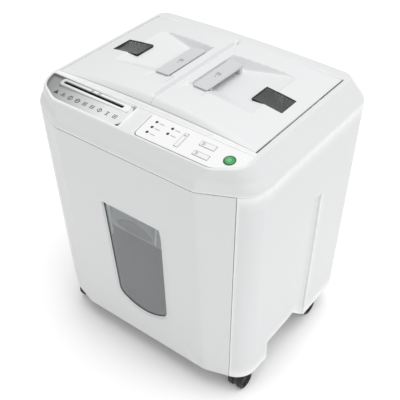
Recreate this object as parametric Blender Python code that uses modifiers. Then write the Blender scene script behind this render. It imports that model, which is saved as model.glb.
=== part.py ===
"""Auto-feed paper shredder: a white housing on four casters, with two paper chambers under domed lids,
a disc slot and a control panel along the front, a cutting head inside and a pull-out bin below.

Frame: metres, +Z up, -Y to the front, origin on the floor under the middle of the housing.
"""

import math

import bmesh
import bpy
from mathutils import Matrix, Vector

# Housing, overall
HALF_WIDTH = 0.266  # at the seam between top cover and cabinet
DEPTH = 0.448  # at the seam
BODY_BOTTOM_Z = 0.059
SEAM_Z = 0.568
TOP_Z = 0.627  # top plane where the lids meet the sides
WALL = 0.003
GAP = 0.0003  # between faces that touch
SEAM_GAP = 0.001
TAPER = 0.010  # how far the sides and back draw in at the bottom
FRONT_LEAN = 0.034  # how far the front draws in at the bottom
FLAT_FRONT_HALF = 0.167
FACET_SLOPE_SEAM = 0.485  # run back per run sideways of the two front facets
FACET_SLOPE_BOTTOM = 0.324
FRONT_CORNER_RADIUS = 0.050
REAR_CORNER_RADIUS = 0.022
DOOR_EDGE_INSET = 0.032  # door edge from the widest point, at the seam
DOOR_EDGE_DRIFT = 0.0145  # further inset at the bottom

# Shoulder and top of the cover
SHOULDER_RISE = 0.026
SHOULDER_INSET = 0.0085
RIM_DROP = 0.013  # the control strip's front edge below TOP_Z
RIM_INSET = 0.0184
RIM_FLAT_HALF = 0.186
TOP_INSET = 0.0245
COVER_CROWN = 0.008
STRIP_BACK_GAP = 0.010  # control strip's back edge in front of the lids
OVERSHOOT = 0.023  # height of the loft that the roof cut takes off
ROOF_SPAN = 0.290  # half span of the roof cut

# Lids
LID_MARGIN = 0.036  # widest point to the lids' outer edge line
LID_DEPTH = 0.304
LID_FRONT_MARGIN = 0.090  # front of the housing to the lids' front edge
LID_DOME = 0.020
LID_BACK_CROWN = 0.010
LID_NOSE = 0.015  # length over which the dome falls at the front and back edges
LID_THICKNESS = 0.0025
LID_GAP = 0.0005
LID_SPLIT_HALF = 0.001
VALLEY_HALF = 0.007
VALLEY_DEPTH = 0.004
HINGE_INSET = 0.0055  # hinge axis inside and below the lid's outer edge line
HINGE_OPENING = 0.002  # cover opening beyond the edge line
ROD_RADIUS = 0.00125
BARREL_RADIUS = 0.0032
BARREL_HALF_LENGTH = 0.0785
BARREL_MIDDLE_Y = 0.005
LUG_THICKNESS = 0.006
LUG_RADIUS = 0.0029
LUG_DROP = 0.0045  # its arm below the hinge axis, clear of the lid's swing
BRIDGE_HALF = 0.006
BRIDGE_RISE = 0.0015

# Handles, finger scoops and viewing windows in the lids
HANDLE_INNER_X = 0.030
HANDLE_WIDTH = 0.031
HANDLE_LENGTH = 0.122
HANDLE_MIDDLE_Y = 0.015
HANDLE_THICKNESS = 0.004
SCOOP_DEPTH = 0.0185
SCOOP_OUTER_X = 0.162
SCOOP_WALL = 0.003
LID_WINDOW_WIDTH = 0.066
LID_WINDOW_DEPTH = 0.052
LID_WINDOW_OUTER = 0.026  # from the lid's outer edge line
LID_WINDOW_MIDDLE_Y = 0.016
PANE_THICKNESS = 0.002

# Paper chambers
TRAY_WALL = 0.002
TRAY_INNER_GAP = 0.0015  # outside the central bridge
TRAY_OUTER_GAP = 0.0065  # inside the lids' outer edge line
TRAY_FLOOR_Z = 0.545
TRAY_RIM_Z = 0.612
TRAY_END_GAP = 0.0005
FEED_SLOT_HALF = 0.0155
FEED_SLOT_END = 0.024

# Cutting head and gear train
HEAD_Y = 0.018
CUTTER_Z = 0.475
CUTTER_SPACING = 0.034
CUTTER_DISC_RADIUS = 0.019
CUTTER_CORE_RADIUS = 0.014
CUTTER_JOURNAL_RADIUS = 0.008
CUTTER_DISCS = 11
CUTTER_PLAY = 0.0015
HEAD_PLATE_THICKNESS = 0.003
HEAD_PLATE_OFFSET = 0.008  # outside the trays
MODULE = 0.002
GEAR_WIDTH = 0.006
GEAR_PITCH_GAP = 0.001
CUTTER_TEETH = 17
FEED_TEETH = 43
REDUCTION_TEETH = 40
REDUCTION_PINION_TEETH = 14
MOTOR_TEETH = 12
FEED_SHAFT_RADIUS = 0.005
FEED_ROLLER_RADIUS = 0.018
FEED_ROLLER_LENGTH = 0.160
MOTOR_RADIUS = 0.040
MOTOR_LENGTH = 0.135
MOTOR_SHAFT_RADIUS = 0.004
CROSSBAR_HEIGHT = 0.016
CROSSBAR_DEPTH = 0.015

# Bin
BIN_TOP_Z = 0.400
BIN_HALF_WIDTH = 0.205
BIN_WALL = 0.0025
BIN_FLOOR_Z = 0.075
BIN_REAR_GAP = 0.036  # behind the bin, to the back of the housing
WINDOW_TOP_Z = 0.425
WINDOW_BOTTOM_Z = 0.132
WINDOW_TOP_HALF = 0.073
WINDOW_BOTTOM_HALF = 0.066
WINDOW_SAG = 0.026  # how far the middle of the window's bottom edge hangs below its corners
WINDOW_RECESS = 0.008
TUB_VIEW_TOP_Z = 0.384  # top of the opening in the tub behind the window
TUB_VIEW_INSET = 0.002
RECESS_TOP_Z = 0.430
RECESS_SIDE = 0.020
RECESS_BELOW = 0.030
BEZEL_DEPTH = 0.013
BEZEL_RIM = 0.004

# Base and casters
BASE_Z = 0.066
BASE_THICKNESS = 0.004
BASE_WAIST_HALF = 0.200
ARCH_FRONT_Y = -0.084
ARCH_BACK_Y = 0.074
ARCH_TOP_Z = 0.113
ARCH_SLOPE_Y = 0.020  # where the arch's top turns down to the rear foot
ARCH_CUTTER_WIDTH = 0.080
SIDE_SCOOP_FRONT_Y = -0.006
SIDE_SCOOP_TOP_Z = 0.422
SIDE_SCOOP_DEPTH = 0.006
CASTER_INSET_X = 0.042  # swivel axis inside the widest point
CASTER_FRONT_Y = 0.077  # swivel axis behind the front
CASTER_REAR_Y = 0.099  # swivel axis in front of the back
WHEEL_RADIUS = 0.023
WHEEL_HALF_WIDTH = 0.018
WHEEL_GAP_HALF = 0.005
CASTER_TRAIL = 0.012
WHEEL_HUB_RADIUS = 0.0045
WHEEL_RIM = 0.007
WHEEL_EDGE = 0.002
WHEEL_DISH = 0.003
WHEEL_PLAY = 0.0006  # between a wheel and its fork
FORK_RIB_DROP = 0.003
COLLAR_Z = 0.048
STEM_RADIUS = 0.0055

# Control strip
PANEL_LEFT_X = 0.017
PANEL_THICKNESS = 0.0015
PANEL_RIM = 0.0045  # rim of the cover left around the panel
PANEL_LEDGE = 0.002  # ledge of the cover under the panel's edge
KEY_CLEARANCE = 0.0004
KEY_RISE = 0.0010
KEY_DEPTH = 0.0075
LONG_KEY = (0.102, -0.1727, 0.008, 0.035)  # middle x, middle y, width, length
FORWARD_KEY = (0.152, -0.1620, 0.031, 0.011)
REVERSE_KEY = (0.154, -0.1855, 0.031, 0.010)
POWER_INSET_X = 0.062  # button from the widest point
POWER_Y = -0.172
POWER_RADIUS = 0.0090
POWER_RING = 0.0020
LIGHT_COLUMNS = ((0.0355, (-0.158, -0.172, -0.186)), (0.0712, (-0.158, -0.172)))
LIGHT_RADIUS = 0.0028
DISC_SLOT_MIDDLE_X = -0.1215
DISC_SLOT_LENGTH = 0.153
DISC_SLOT_WIDTH = 0.0054
DISC_INSERT_DEPTH = 0.017
DISC_INSERT_LEFT = 0.006  # past the slot at its left end
DISC_INSERT_RIGHT = 0.015
DISC_CHUTE_HEIGHT = 0.045
SLOT_BACK_GAP = 0.003
WELL_RIGHT_X = -0.022
WELL_SLOPE = 0.0112  # fall of the well towards its left end, per metre
WELL_RIM = 0.0045

# Electrics
INLET_X = -0.170
INLET_Z = 0.150
INLET_WIDTH = 0.028
INLET_HEIGHT = 0.020
SWITCH_SPACING = 0.040
SWITCH_WIDTH = 0.014
BOARD_THICKNESS = 0.0016

# Derived places
FRONT_Y = -DEPTH / 2
BACK_Y = DEPTH / 2
LID_FRONT_Y = FRONT_Y + LID_FRONT_MARGIN
LID_BACK_Y = LID_FRONT_Y + LID_DEPTH
LID_EDGE_X = HALF_WIDTH - LID_MARGIN
HINGE_X = LID_EDGE_X - HINGE_INSET
HINGE_Z = TOP_Z - HINGE_INSET
OPENING_X = LID_EDGE_X + HINGE_OPENING
STRIP_BACK_Y = LID_FRONT_Y - STRIP_BACK_GAP
STRIP_FRONT_Y = FRONT_Y + RIM_INSET
STRIP_SLOPE = RIM_DROP / (STRIP_BACK_Y - STRIP_FRONT_Y)
STRIP_TILT = math.atan(STRIP_SLOPE)
TRAY_INNER_X = BRIDGE_HALF + TRAY_INNER_GAP
TRAY_OUTER_X = LID_EDGE_X - TRAY_OUTER_GAP
HEAD_PLATE_X = TRAY_OUTER_X + HEAD_PLATE_OFFSET
GEAR_X = HEAD_PLATE_X + HEAD_PLATE_THICKNESS + 2 * GEAR_PITCH_GAP
FEED_Z = CUTTER_Z + math.sqrt(((CUTTER_TEETH + FEED_TEETH) * MODULE / 2) ** 2 - (CUTTER_SPACING / 2) ** 2)
CROSSBAR_TOP_Z = CUTTER_Z - 0.050

MODEL = bpy.data.collections.new("paper_shredder")
CUTTERS = bpy.data.collections.new("cutters")


# ---------------------------------------------------------------- helpers


def clear_scene():
    for obj in list(bpy.data.objects):
        bpy.data.objects.remove(obj)
    for collection in (MODEL, CUTTERS):
        bpy.context.scene.collection.children.link(collection)


def material(name, colour, roughness, metallic=0.0):
    made = bpy.data.materials.new(name)
    made.use_nodes = True
    shader = made.node_tree.nodes["Principled BSDF"]
    shader.inputs["Base Color"].default_value = (*colour, 1.0)
    shader.inputs["Roughness"].default_value = roughness
    shader.inputs["Metallic"].default_value = metallic
    return made


def add(name, mesh, finish, origin=(0, 0, 0)):
    """A part from a mesh in world coordinates, with its origin moved to the given point."""
    origin = Vector(origin)
    mesh.transform(Matrix.Translation(-origin))
    obj = bpy.data.objects.new(name, mesh)
    obj.location = origin
    obj.data.materials.append(finish)
    MODEL.objects.link(obj)
    return obj


def cutter(name, mesh):
    obj = bpy.data.objects.new(name, mesh)
    obj.hide_render = True
    obj.display_type = "WIRE"
    CUTTERS.objects.link(obj)
    return obj


def boolean(obj, other, operation="DIFFERENCE"):
    modifier = obj.modifiers.new(other.name, "BOOLEAN")
    modifier.operation = operation
    modifier.solver = "EXACT"
    modifier.object = other


def mesh_from(bm, name):
    bmesh.ops.recalc_face_normals(bm, faces=bm.faces)
    mesh = bpy.data.meshes.new(name)
    bm.to_mesh(mesh)
    bm.free()
    return mesh


def box_mesh(name, low, high):
    bm = bmesh.new()
    bmesh.ops.create_cube(bm, size=1.0)
    size = Vector(high) - Vector(low)
    middle = (Vector(high) + Vector(low)) / 2
    bmesh.ops.transform(bm, verts=bm.verts, matrix=Matrix.Translation(middle) @ Matrix.Diagonal((*size, 1)))
    return mesh_from(bm, name)


def rod_mesh(name, start, end, radius, sides=16):
    """A cylinder between two points."""
    start, end = Vector(start), Vector(end)
    along = end - start
    bm = bmesh.new()
    bmesh.ops.create_cone(
        bm, cap_ends=True, segments=sides, radius1=radius, radius2=radius, depth=along.length
    )
    turn = Vector((0, 0, 1)).rotation_difference(along).to_matrix().to_4x4()
    bmesh.ops.transform(bm, verts=bm.verts, matrix=Matrix.Translation((start + end) / 2) @ turn)
    return mesh_from(bm, name)


def plate_mesh(name, outlines, thickness):
    """Flat outlines in the XY plane, extruded both ways about Z = 0; a further outline inside is a hole."""
    curve = bpy.data.curves.new(name, "CURVE")
    curve.dimensions = "2D"
    curve.fill_mode = "BOTH"
    curve.extrude = thickness / 2
    for points in outlines:
        spline = curve.splines.new("POLY")
        spline.points.add(len(points) - 1)
        for target, (x, y) in zip(spline.points, points):
            target.co = (x, y, 0, 1)
        spline.use_cyclic_u = True
    guide = bpy.data.objects.new(name + "_outline", curve)
    bpy.context.scene.collection.objects.link(guide)
    graph = bpy.context.evaluated_depsgraph_get()
    mesh = bpy.data.meshes.new_from_object(guide.evaluated_get(graph))
    bpy.data.objects.remove(guide)
    bm = bmesh.new()
    bm.from_mesh(mesh)
    bmesh.ops.remove_doubles(bm, verts=bm.verts, dist=1e-6)
    bm.to_mesh(mesh)
    bm.free()
    return mesh


def across_x(mesh, x):
    """Stands an XY plate mesh in the YZ plane at a given x: its X becomes Y and its Y becomes Z."""
    turn = Matrix(((0, 0, 1, x), (1, 0, 0, 0), (0, 1, 0, 0), (0, 0, 0, 1)))
    mesh.transform(turn)
    return mesh


def loft_mesh(name, rings):
    """Closed skin over rings of points, capped at both ends."""
    bm = bmesh.new()
    loops = [[bm.verts.new(point) for point in ring] for ring in rings]
    for lower, upper in zip(loops, loops[1:]):
        for i in range(len(lower)):
            j = (i + 1) % len(lower)
            bm.faces.new((lower[i], lower[j], upper[j], upper[i]))
    bm.faces.new(list(reversed(loops[0])))
    bm.faces.new(loops[-1])
    return mesh_from(bm, name)


def field_mesh(name, xs, ys, top, bottom):
    """Closed solid between two height fields over a grid."""
    bm = bmesh.new()
    upper = [[bm.verts.new((x, y, top(x, y))) for x in xs] for y in ys]
    lower = [[bm.verts.new((x, y, bottom(x, y))) for x in xs] for y in ys]
    for j in range(len(ys) - 1):
        for i in range(len(xs) - 1):
            bm.faces.new((upper[j][i], upper[j][i + 1], upper[j + 1][i + 1], upper[j + 1][i]))
            bm.faces.new((lower[j][i], lower[j + 1][i], lower[j + 1][i + 1], lower[j][i + 1]))
    for i in range(len(xs) - 1):
        bm.faces.new((lower[0][i], lower[0][i + 1], upper[0][i + 1], upper[0][i]))
        bm.faces.new((lower[-1][i], upper[-1][i], upper[-1][i + 1], lower[-1][i + 1]))
    for j in range(len(ys) - 1):
        bm.faces.new((lower[j][0], upper[j][0], upper[j + 1][0], lower[j + 1][0]))
        bm.faces.new((lower[j][-1], lower[j + 1][-1], upper[j + 1][-1], upper[j][-1]))
    return mesh_from(bm, name)


def turned(name, profile, finish, origin, direction, sides=16):
    """A turned piece: (radius, height) points from the top down its outer side, about an axis."""
    mesh = bpy.data.meshes.new(name)
    points = [(radius, 0, height) for radius, height in profile]
    closed = profile[0][0] > 0
    edges = [(i, i + 1) for i in range(len(points) - 1)]
    if closed:
        edges.append((len(points) - 1, 0))
    mesh.from_pydata(points, edges, [])
    obj = bpy.data.objects.new(name, mesh)
    obj.data.materials.append(finish)
    obj.location = origin
    obj.rotation_euler = Vector((0, 0, 1)).rotation_difference(Vector(direction)).to_euler()
    screw = obj.modifiers.new("turn", "SCREW")
    screw.steps = sides
    screw.render_steps = sides
    screw.use_merge_vertices = True
    screw.merge_threshold = 1e-5
    screw.use_smooth_shade = True
    MODEL.objects.link(obj)
    return obj


def mirror_x(mesh, side):
    """The mesh itself for the right side (+1), or its mirror image for the left (-1)."""
    if side < 0:
        mesh.transform(Matrix.Scale(-1, 4, (1, 0, 0)))
        mesh.flip_normals()
    return mesh


def smooth(obj, degrees=35):
    obj.data.shade_smooth()
    obj.data.set_sharp_from_angle(angle=math.radians(degrees))


# ---------------------------------------------------------------- the housing's form


def blend(value, low, high):
    return min(max((value - low) / (high - low), 0.0), 1.0)


def inset_at(z):
    """How far the cover's outside draws in above the seam: a soft shoulder, then a straight sloping band."""
    rise = z - SEAM_Z
    if rise <= SHOULDER_RISE:
        return SHOULDER_INSET * max(rise, 0.0) ** 2 / SHOULDER_RISE**2
    slope = (TOP_INSET - SHOULDER_INSET) / (TOP_Z - SEAM_Z - SHOULDER_RISE)
    return SHOULDER_INSET + slope * (rise - SHOULDER_RISE)


def facet_slope(z):
    drop = blend(SEAM_Z - z, 0, SEAM_Z - BODY_BOTTOM_Z)
    return FACET_SLOPE_SEAM + drop * (FACET_SLOPE_BOTTOM - FACET_SLOPE_SEAM)


def front_y(z):
    return FRONT_Y + FRONT_LEAN * blend(SEAM_Z - z, 0, SEAM_Z - BODY_BOTTOM_Z) + inset_at(z)


def side_x(z):
    return HALF_WIDTH - TAPER * blend(SEAM_Z - z, 0, SEAM_Z - BODY_BOTTOM_Z) - inset_at(z)


def back_y(z):
    return BACK_Y - TAPER * blend(SEAM_Z - z, 0, SEAM_Z - BODY_BOTTOM_Z) - inset_at(z)


def door_edge_x(z):
    return HALF_WIDTH - DOOR_EDGE_INSET - DOOR_EDGE_DRIFT * blend(SEAM_Z - z, 0, SEAM_Z - BODY_BOTTOM_Z)


def flat_half(z):
    widening = blend(z, SEAM_Z + SHOULDER_RISE, TOP_Z - RIM_DROP)
    return FLAT_FRONT_HALF + widening * (RIM_FLAT_HALF - FLAT_FRONT_HALF)


def front_arc(z, wall, steps=4):
    """The rounded corner between a front facet and the side, inset by a wall thickness."""
    angle = math.atan(facet_slope(z))
    x_kink = flat_half(z) - wall * math.tan(angle / 2)
    x_side = side_x(z) - wall
    radius = FRONT_CORNER_RADIUS - wall
    y_corner = front_y(z) + wall + (x_side - x_kink) * math.tan(angle)
    tangent = radius * math.tan((math.pi / 2 - angle) / 2)
    centre = (x_side - radius, y_corner + tangent)
    turns = [(angle - math.pi / 2) * (1 - i / steps) for i in range(steps + 1)]
    return [(centre[0] + radius * math.cos(t), centre[1] + radius * math.sin(t)) for t in turns]


def rear_arc(z, wall, steps=3):
    radius = REAR_CORNER_RADIUS - wall
    centre = (side_x(z) - wall - radius, back_y(z) - wall - radius)
    turns = [math.pi / 2 * i / steps for i in range(steps + 1)]
    return [(centre[0] + radius * math.cos(t), centre[1] + radius * math.sin(t)) for t in turns]


def ring(z, wall=0.0):
    """The housing's outline at a height, inset by a wall thickness."""
    kink = flat_half(z) - wall * math.tan(math.atan(facet_slope(z)) / 2)
    half = [(kink, front_y(z) + wall)] + front_arc(z, wall) + rear_arc(z, wall)
    left = [(-x, y) for x, y in reversed(half)]
    return [(x, y, z) for x, y in half + left]


def strip_z(y):
    """Height of the sloping control strip."""
    return TOP_Z + STRIP_SLOPE * (y - STRIP_BACK_Y)


def roof_z(x, y):
    """The cover's top surface: crowned around the lids, sloping down over the control strip."""
    if y <= STRIP_BACK_Y:
        return strip_z(y)
    return TOP_Z + COVER_CROWN * (1 - (x / OPENING_X) ** 2)


def on_strip(x, y, depth=0.0):
    """Frame with its origin on the control strip, X along it and Z out of it."""
    place = Matrix.Translation((x, y, strip_z(y))) @ Matrix.Rotation(STRIP_TILT, 4, "X")
    return place @ Matrix.Translation((0, 0, -depth))


def lid_dome(x, y):
    """The lids' outer surface without its scoop: domed, falling at the front and back edges."""
    front = blend(y - LID_FRONT_Y, 0, LID_NOSE)
    back = blend(LID_BACK_Y - y, 0, LID_NOSE)
    crown = COVER_CROWN + (LID_DOME - COVER_CROWN) * math.sin(front * math.pi / 2)
    crown = min(crown, LID_BACK_CROWN + (LID_DOME - LID_BACK_CROWN) * math.sin(back * math.pi / 2))
    return TOP_Z + crown * (1 - (x / LID_EDGE_X) ** 2)


def lid_top(x, y):
    """The lids' outer surface with the centre valley and the finger scoop."""
    z = lid_dome(x, y)
    if y > LID_FRONT_Y + LID_NOSE:
        z -= VALLEY_DEPTH * (1 - blend(x, LID_SPLIT_HALF, VALLEY_HALF))
    half = HANDLE_LENGTH / 2 + SCOOP_WALL
    inside = blend(half + SCOOP_WALL - abs(y - HANDLE_MIDDLE_Y), 0, SCOOP_WALL)
    outer_handle = HANDLE_INNER_X + HANDLE_WIDTH
    across = blend(x, HANDLE_INNER_X - 2 * SCOOP_WALL, HANDLE_INNER_X - SCOOP_WALL)
    across *= 1 - blend(x, outer_handle, SCOOP_OUTER_X)
    return z - SCOOP_DEPTH * inside * across


# ---------------------------------------------------------------- housing


def roof_cutter(name, lower_by):
    xs = [ROOF_SPAN * i / 7 for i in range(-7, 8)]
    ys = [FRONT_Y * 1.3, STRIP_BACK_Y, LID_FRONT_Y, BACK_Y * 1.3]
    high = TOP_Z + 4 * OVERSHOOT
    mesh = field_mesh(name, xs, ys, lambda x, y: high, lambda x, y: roof_z(x, y) - lower_by)
    return cutter(name, mesh)


def make_top_cover(finish):
    levels = [SEAM_Z + SEAM_GAP, SEAM_Z + SHOULDER_RISE / 2, SEAM_Z + SHOULDER_RISE]
    levels += [TOP_Z - RIM_DROP, TOP_Z + OVERSHOOT]
    cover = add("top_cover", loft_mesh("top_cover", [ring(z) for z in levels]), finish)
    boolean(cover, roof_cutter("cover_roof", 0.0))
    inner = [SEAM_Z - 2 * WALL] + levels[1:]
    cavity = cutter("cover_cavity", loft_mesh("cover_cavity", [ring(z, WALL) for z in inner]))
    boolean(cavity, roof_cutter("cavity_roof", WALL))
    boolean(cover, cavity)
    low = (-2 * BRIDGE_HALF, LID_FRONT_Y - LID_GAP, TOP_Z + BRIDGE_RISE)
    high = (2 * BRIDGE_HALF, LID_BACK_Y + LID_GAP, TOP_Z + 2 * OVERSHOOT)
    boolean(cover, cutter("bridge_relief", box_mesh("bridge_relief", low, high)))
    for side in (-1, 1):
        label = "left" if side < 0 else "right"
        low = (BRIDGE_HALF, LID_FRONT_Y - LID_GAP, SEAM_Z)
        high = (OPENING_X, LID_BACK_Y + LID_GAP, TOP_Z + 2 * OVERSHOOT)
        opening = mirror_x(box_mesh(label + "_lid_opening", low, high), side)
        boolean(cover, cutter(label + "_lid_opening", opening))
        for end in (-1, 1):
            near = BARREL_MIDDLE_Y + end * (BARREL_HALF_LENGTH + 2 * GAP)
            lug = lug_mesh(side, near, near + end * LUG_THICKNESS)
            boolean(cover, cutter(f"{label}_lug_{end}", lug), "UNION")
        ends = [(side * HINGE_X, BARREL_MIDDLE_Y + end * 0.1, HINGE_Z) for end in (-1, 1)]
        bore = rod_mesh("bore", *ends, ROD_RADIUS + GAP, 12)
        boolean(cover, cutter(label + "_rod_bore", bore))
    boolean(cover, well_cutter())
    boolean(cover, insert_opening_cutter())
    boolean(cover, cutter("panel_pocket", panel_mesh("panel_pocket", PANEL_THICKNESS + GAP, GAP, over=0.004)))
    boolean(cover, cutter("panel_window", panel_mesh("panel_window", 0.03, -PANEL_LEDGE, over=0.004)))
    smooth(cover)


def lug_mesh(side, near, far):
    """A lug from the cover's side wall, in under the lid's swing and up around the hinge rod."""
    turns = [math.radians(degrees) for degrees in range(180, -1, -30)]
    round_top = [(HINGE_X + LUG_RADIUS * math.cos(t), HINGE_Z + LUG_RADIUS * math.sin(t)) for t in turns]
    low = HINGE_Z - LUG_DROP - LUG_RADIUS
    foot_x = side_x(HINGE_Z - LUG_DROP) - WALL / 4
    section = round_top + [(HINGE_X + LUG_RADIUS, HINGE_Z - LUG_DROP), (foot_x, HINGE_Z - LUG_DROP)]
    section += [(foot_x, low), (HINGE_X - LUG_RADIUS, low)]
    rings = [[(x, y, z) for x, z in section] for y in sorted((near, far))]
    return mirror_x(loft_mesh("lug", rings), side)


def well_cutter():
    """The shallow well around the disc slot: its floor falls away to the left."""
    top_x = side_x(TOP_Z) - WELL_RIM
    outline = [
        (WELL_RIGHT_X, STRIP_BACK_Y - SLOT_BACK_GAP),
        (WELL_RIGHT_X, STRIP_FRONT_Y + WELL_RIM),
        (-RIM_FLAT_HALF + WELL_RIM, STRIP_FRONT_Y + WELL_RIM),
        (-top_x + 0.012, STRIP_FRONT_Y + 0.024),
        (-top_x, STRIP_FRONT_Y + 0.036),
        (-top_x, STRIP_BACK_Y - SLOT_BACK_GAP),
    ]
    floor = [(x, y, strip_z(y) - 0.0001 - WELL_SLOPE * (WELL_RIGHT_X - x)) for x, y in outline]
    above = [(x, y, TOP_Z + OVERSHOOT) for x, y in outline]
    return cutter("slot_well", loft_mesh("slot_well", [floor, above]))


def insert_footprint(grow):
    """Low and high x and y of the disc slot insert, grown by a clearance."""
    half = DISC_SLOT_LENGTH / 2 + grow
    back = STRIP_BACK_Y - SLOT_BACK_GAP - 0.001 + grow
    front = back - DISC_INSERT_DEPTH - 2 * grow
    left = DISC_SLOT_MIDDLE_X - half - DISC_INSERT_LEFT
    return left, DISC_SLOT_MIDDLE_X + half + DISC_INSERT_RIGHT, front, back


def insert_opening_cutter():
    x0, x1, y0, y1 = insert_footprint(GAP)
    return cutter("insert_opening", box_mesh("insert_opening", (x0, y0, TOP_Z - 0.03), (x1, y1, TOP_Z + 0.02)))


def make_disc_slot(finish):
    x0, x1, y0, y1 = insert_footprint(0.0)
    outline = [(x0, y0), (x1, y0), (x1, y1), (x0, y1)]
    low = [(x, y, strip_z(y) - WALL) for x, y in outline]
    high = [(x, y, strip_z(y)) for x, y in outline]
    insert = add("disc_slot_insert", loft_mesh("disc_slot_insert", [low, high]), finish)
    slot_y = (y0 + y1) / 2
    half = DISC_SLOT_LENGTH / 2
    wide = DISC_SLOT_WIDTH / 2
    top = strip_z(slot_y) - WALL / 2
    low = (DISC_SLOT_MIDDLE_X - half - WALL, slot_y - wide - 0.002, top - DISC_CHUTE_HEIGHT)
    high = (DISC_SLOT_MIDDLE_X + half + WALL, slot_y + wide + 0.002, top)
    boolean(insert, cutter("disc_chute", box_mesh("disc_chute", low, high)), "UNION")
    low = (DISC_SLOT_MIDDLE_X - half, slot_y - wide, top - 2 * DISC_CHUTE_HEIGHT)
    high = (DISC_SLOT_MIDDLE_X + half, slot_y + wide, top + 0.02)
    boolean(insert, cutter("disc_slot", box_mesh("disc_slot", low, high)))


def panel_outline(grow):
    """The control panel's plan: square at its left end, following the housing's corner at its right."""
    front = STRIP_FRONT_Y + PANEL_RIM - grow
    back = STRIP_BACK_Y - PANEL_RIM / 2 + grow
    right = side_x(TOP_Z) - PANEL_RIM + grow
    return [
        (PANEL_LEFT_X - grow, back),
        (PANEL_LEFT_X - grow, front + 0.006),
        (PANEL_LEFT_X - grow + 0.006, front),
        (RIM_FLAT_HALF + grow, front),
        (right - 0.012, front + 0.022),
        (right - 0.003, front + 0.034),
        (right, back),
    ]


def panel_mesh(name, depth, grow, over=0.0):
    """The control panel's plate down to a depth under the strip, and up to a height over it."""
    outline = panel_outline(grow)
    low = [(x, y, strip_z(y) - depth) for x, y in outline]
    high = [(x, y, strip_z(y) + over) for x, y in outline]
    return loft_mesh(name, [low, high])


def key_mesh(name, size, grow, low, high):
    """A key or its hole, square to the control strip."""
    x, y, width, length = size
    half = (width / 2 + grow, length / 2 + grow)
    mesh = box_mesh(name, (-half[0], -half[1], low), (half[0], half[1], high))
    mesh.transform(on_strip(x, y))
    return mesh


def strip_rod(name, x, y, radius, low, high, sides=24):
    mesh = rod_mesh(name, (0, 0, low), (0, 0, high), radius, sides)
    mesh.transform(on_strip(x, y))
    return mesh


def power_place():
    return HALF_WIDTH - POWER_INSET_X, POWER_Y


def make_control_panel(white, key_grey, green, dark_green, lens):
    panel = add("control_panel", panel_mesh("control_panel", PANEL_THICKNESS, 0.0), white)
    keys = {"feed_key": LONG_KEY, "forward_key": FORWARD_KEY, "reverse_key": REVERSE_KEY}
    for name, size in keys.items():
        hole = key_mesh(name + "_hole", size, KEY_CLEARANCE, -0.01, 0.01)
        boolean(panel, cutter(name + "_hole", hole))
        key = key_mesh(name, size, 0.0, -KEY_DEPTH, KEY_RISE)
        add(name, key, key_grey, on_strip(size[0], size[1]).translation)
    x, y = power_place()
    outer = POWER_RADIUS + KEY_CLEARANCE + POWER_RING
    boolean(panel, cutter("power_hole", strip_rod("power_hole", x, y, outer + GAP, -0.01, 0.01)))
    ring_piece = add("power_button_ring", strip_rod("ring", x, y, outer, -0.004, KEY_RISE), dark_green)
    bore = strip_rod("ring_bore", x, y, POWER_RADIUS + KEY_CLEARANCE, -0.02, 0.02)
    boolean(ring_piece, cutter("ring_bore", bore))
    smooth(ring_piece)
    button = strip_rod("power_button", x, y, POWER_RADIUS, -KEY_DEPTH, 1.5 * KEY_RISE)
    smooth(add("power_button", button, green, on_strip(x, y).translation))
    make_status_lights(panel, lens)


def make_status_lights(panel, lens):
    """One clear light guide under the panel, with a domed pip through it for each light."""
    xs = [x for x, _ in LIGHT_COLUMNS]
    ys = [y for _, column in LIGHT_COLUMNS for y in column]
    middle = on_strip((min(xs) + max(xs)) / 2, (min(ys) + max(ys)) / 2)
    half = ((max(xs) - min(xs)) / 2 + 0.006, (max(ys) - min(ys)) / 2 + 0.006)
    under = PANEL_THICKNESS + GAP
    web = box_mesh("status_light_guide", (-half[0], -half[1], -under - 0.0025), (half[0], half[1], -under))
    web.transform(middle)
    guide = add("status_light_guide", web, lens)
    for x, column in LIGHT_COLUMNS:
        for y in column:
            label = f"{round(x * 1000)}_{round(-y * 1000)}"
            pip = strip_rod("pip", x, y, LIGHT_RADIUS, -under - 0.001, 0.0006, 10)
            boolean(guide, cutter("pip_" + label, pip), "UNION")
            hole = strip_rod("pip_hole", x, y, LIGHT_RADIUS + GAP, -0.01, 0.01, 10)
            boolean(panel, cutter("pip_hole_" + label, hole))


def panel_grid_mesh(name, rows):
    """An open surface over rows of points, to be given its thickness by Solidify."""
    bm = bmesh.new()
    grid = [[bm.verts.new(point) for point in row] for row in rows]
    for lower, upper in zip(grid, grid[1:]):
        for i in range(len(lower) - 1):
            bm.faces.new((lower[i], lower[i + 1], upper[i + 1], upper[i]))
    mesh = bpy.data.meshes.new(name)
    bm.to_mesh(mesh)
    bm.free()
    return mesh


def solidify(obj, thickness):
    modifier = obj.modifiers.new("wall", "SOLIDIFY")
    modifier.thickness = thickness
    modifier.offset = -1.0
    modifier.use_even_offset = True


def side_scoop(y, z):
    """Depth of the scoop in the side panel: nothing at its front, deepest at its rear step."""
    if z > SIDE_SCOOP_TOP_Z or y > ARCH_BACK_Y:
        return 0.0
    return SIDE_SCOOP_DEPTH * blend(y, SIDE_SCOOP_FRONT_Y, ARCH_BACK_Y) ** 1.4


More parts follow.
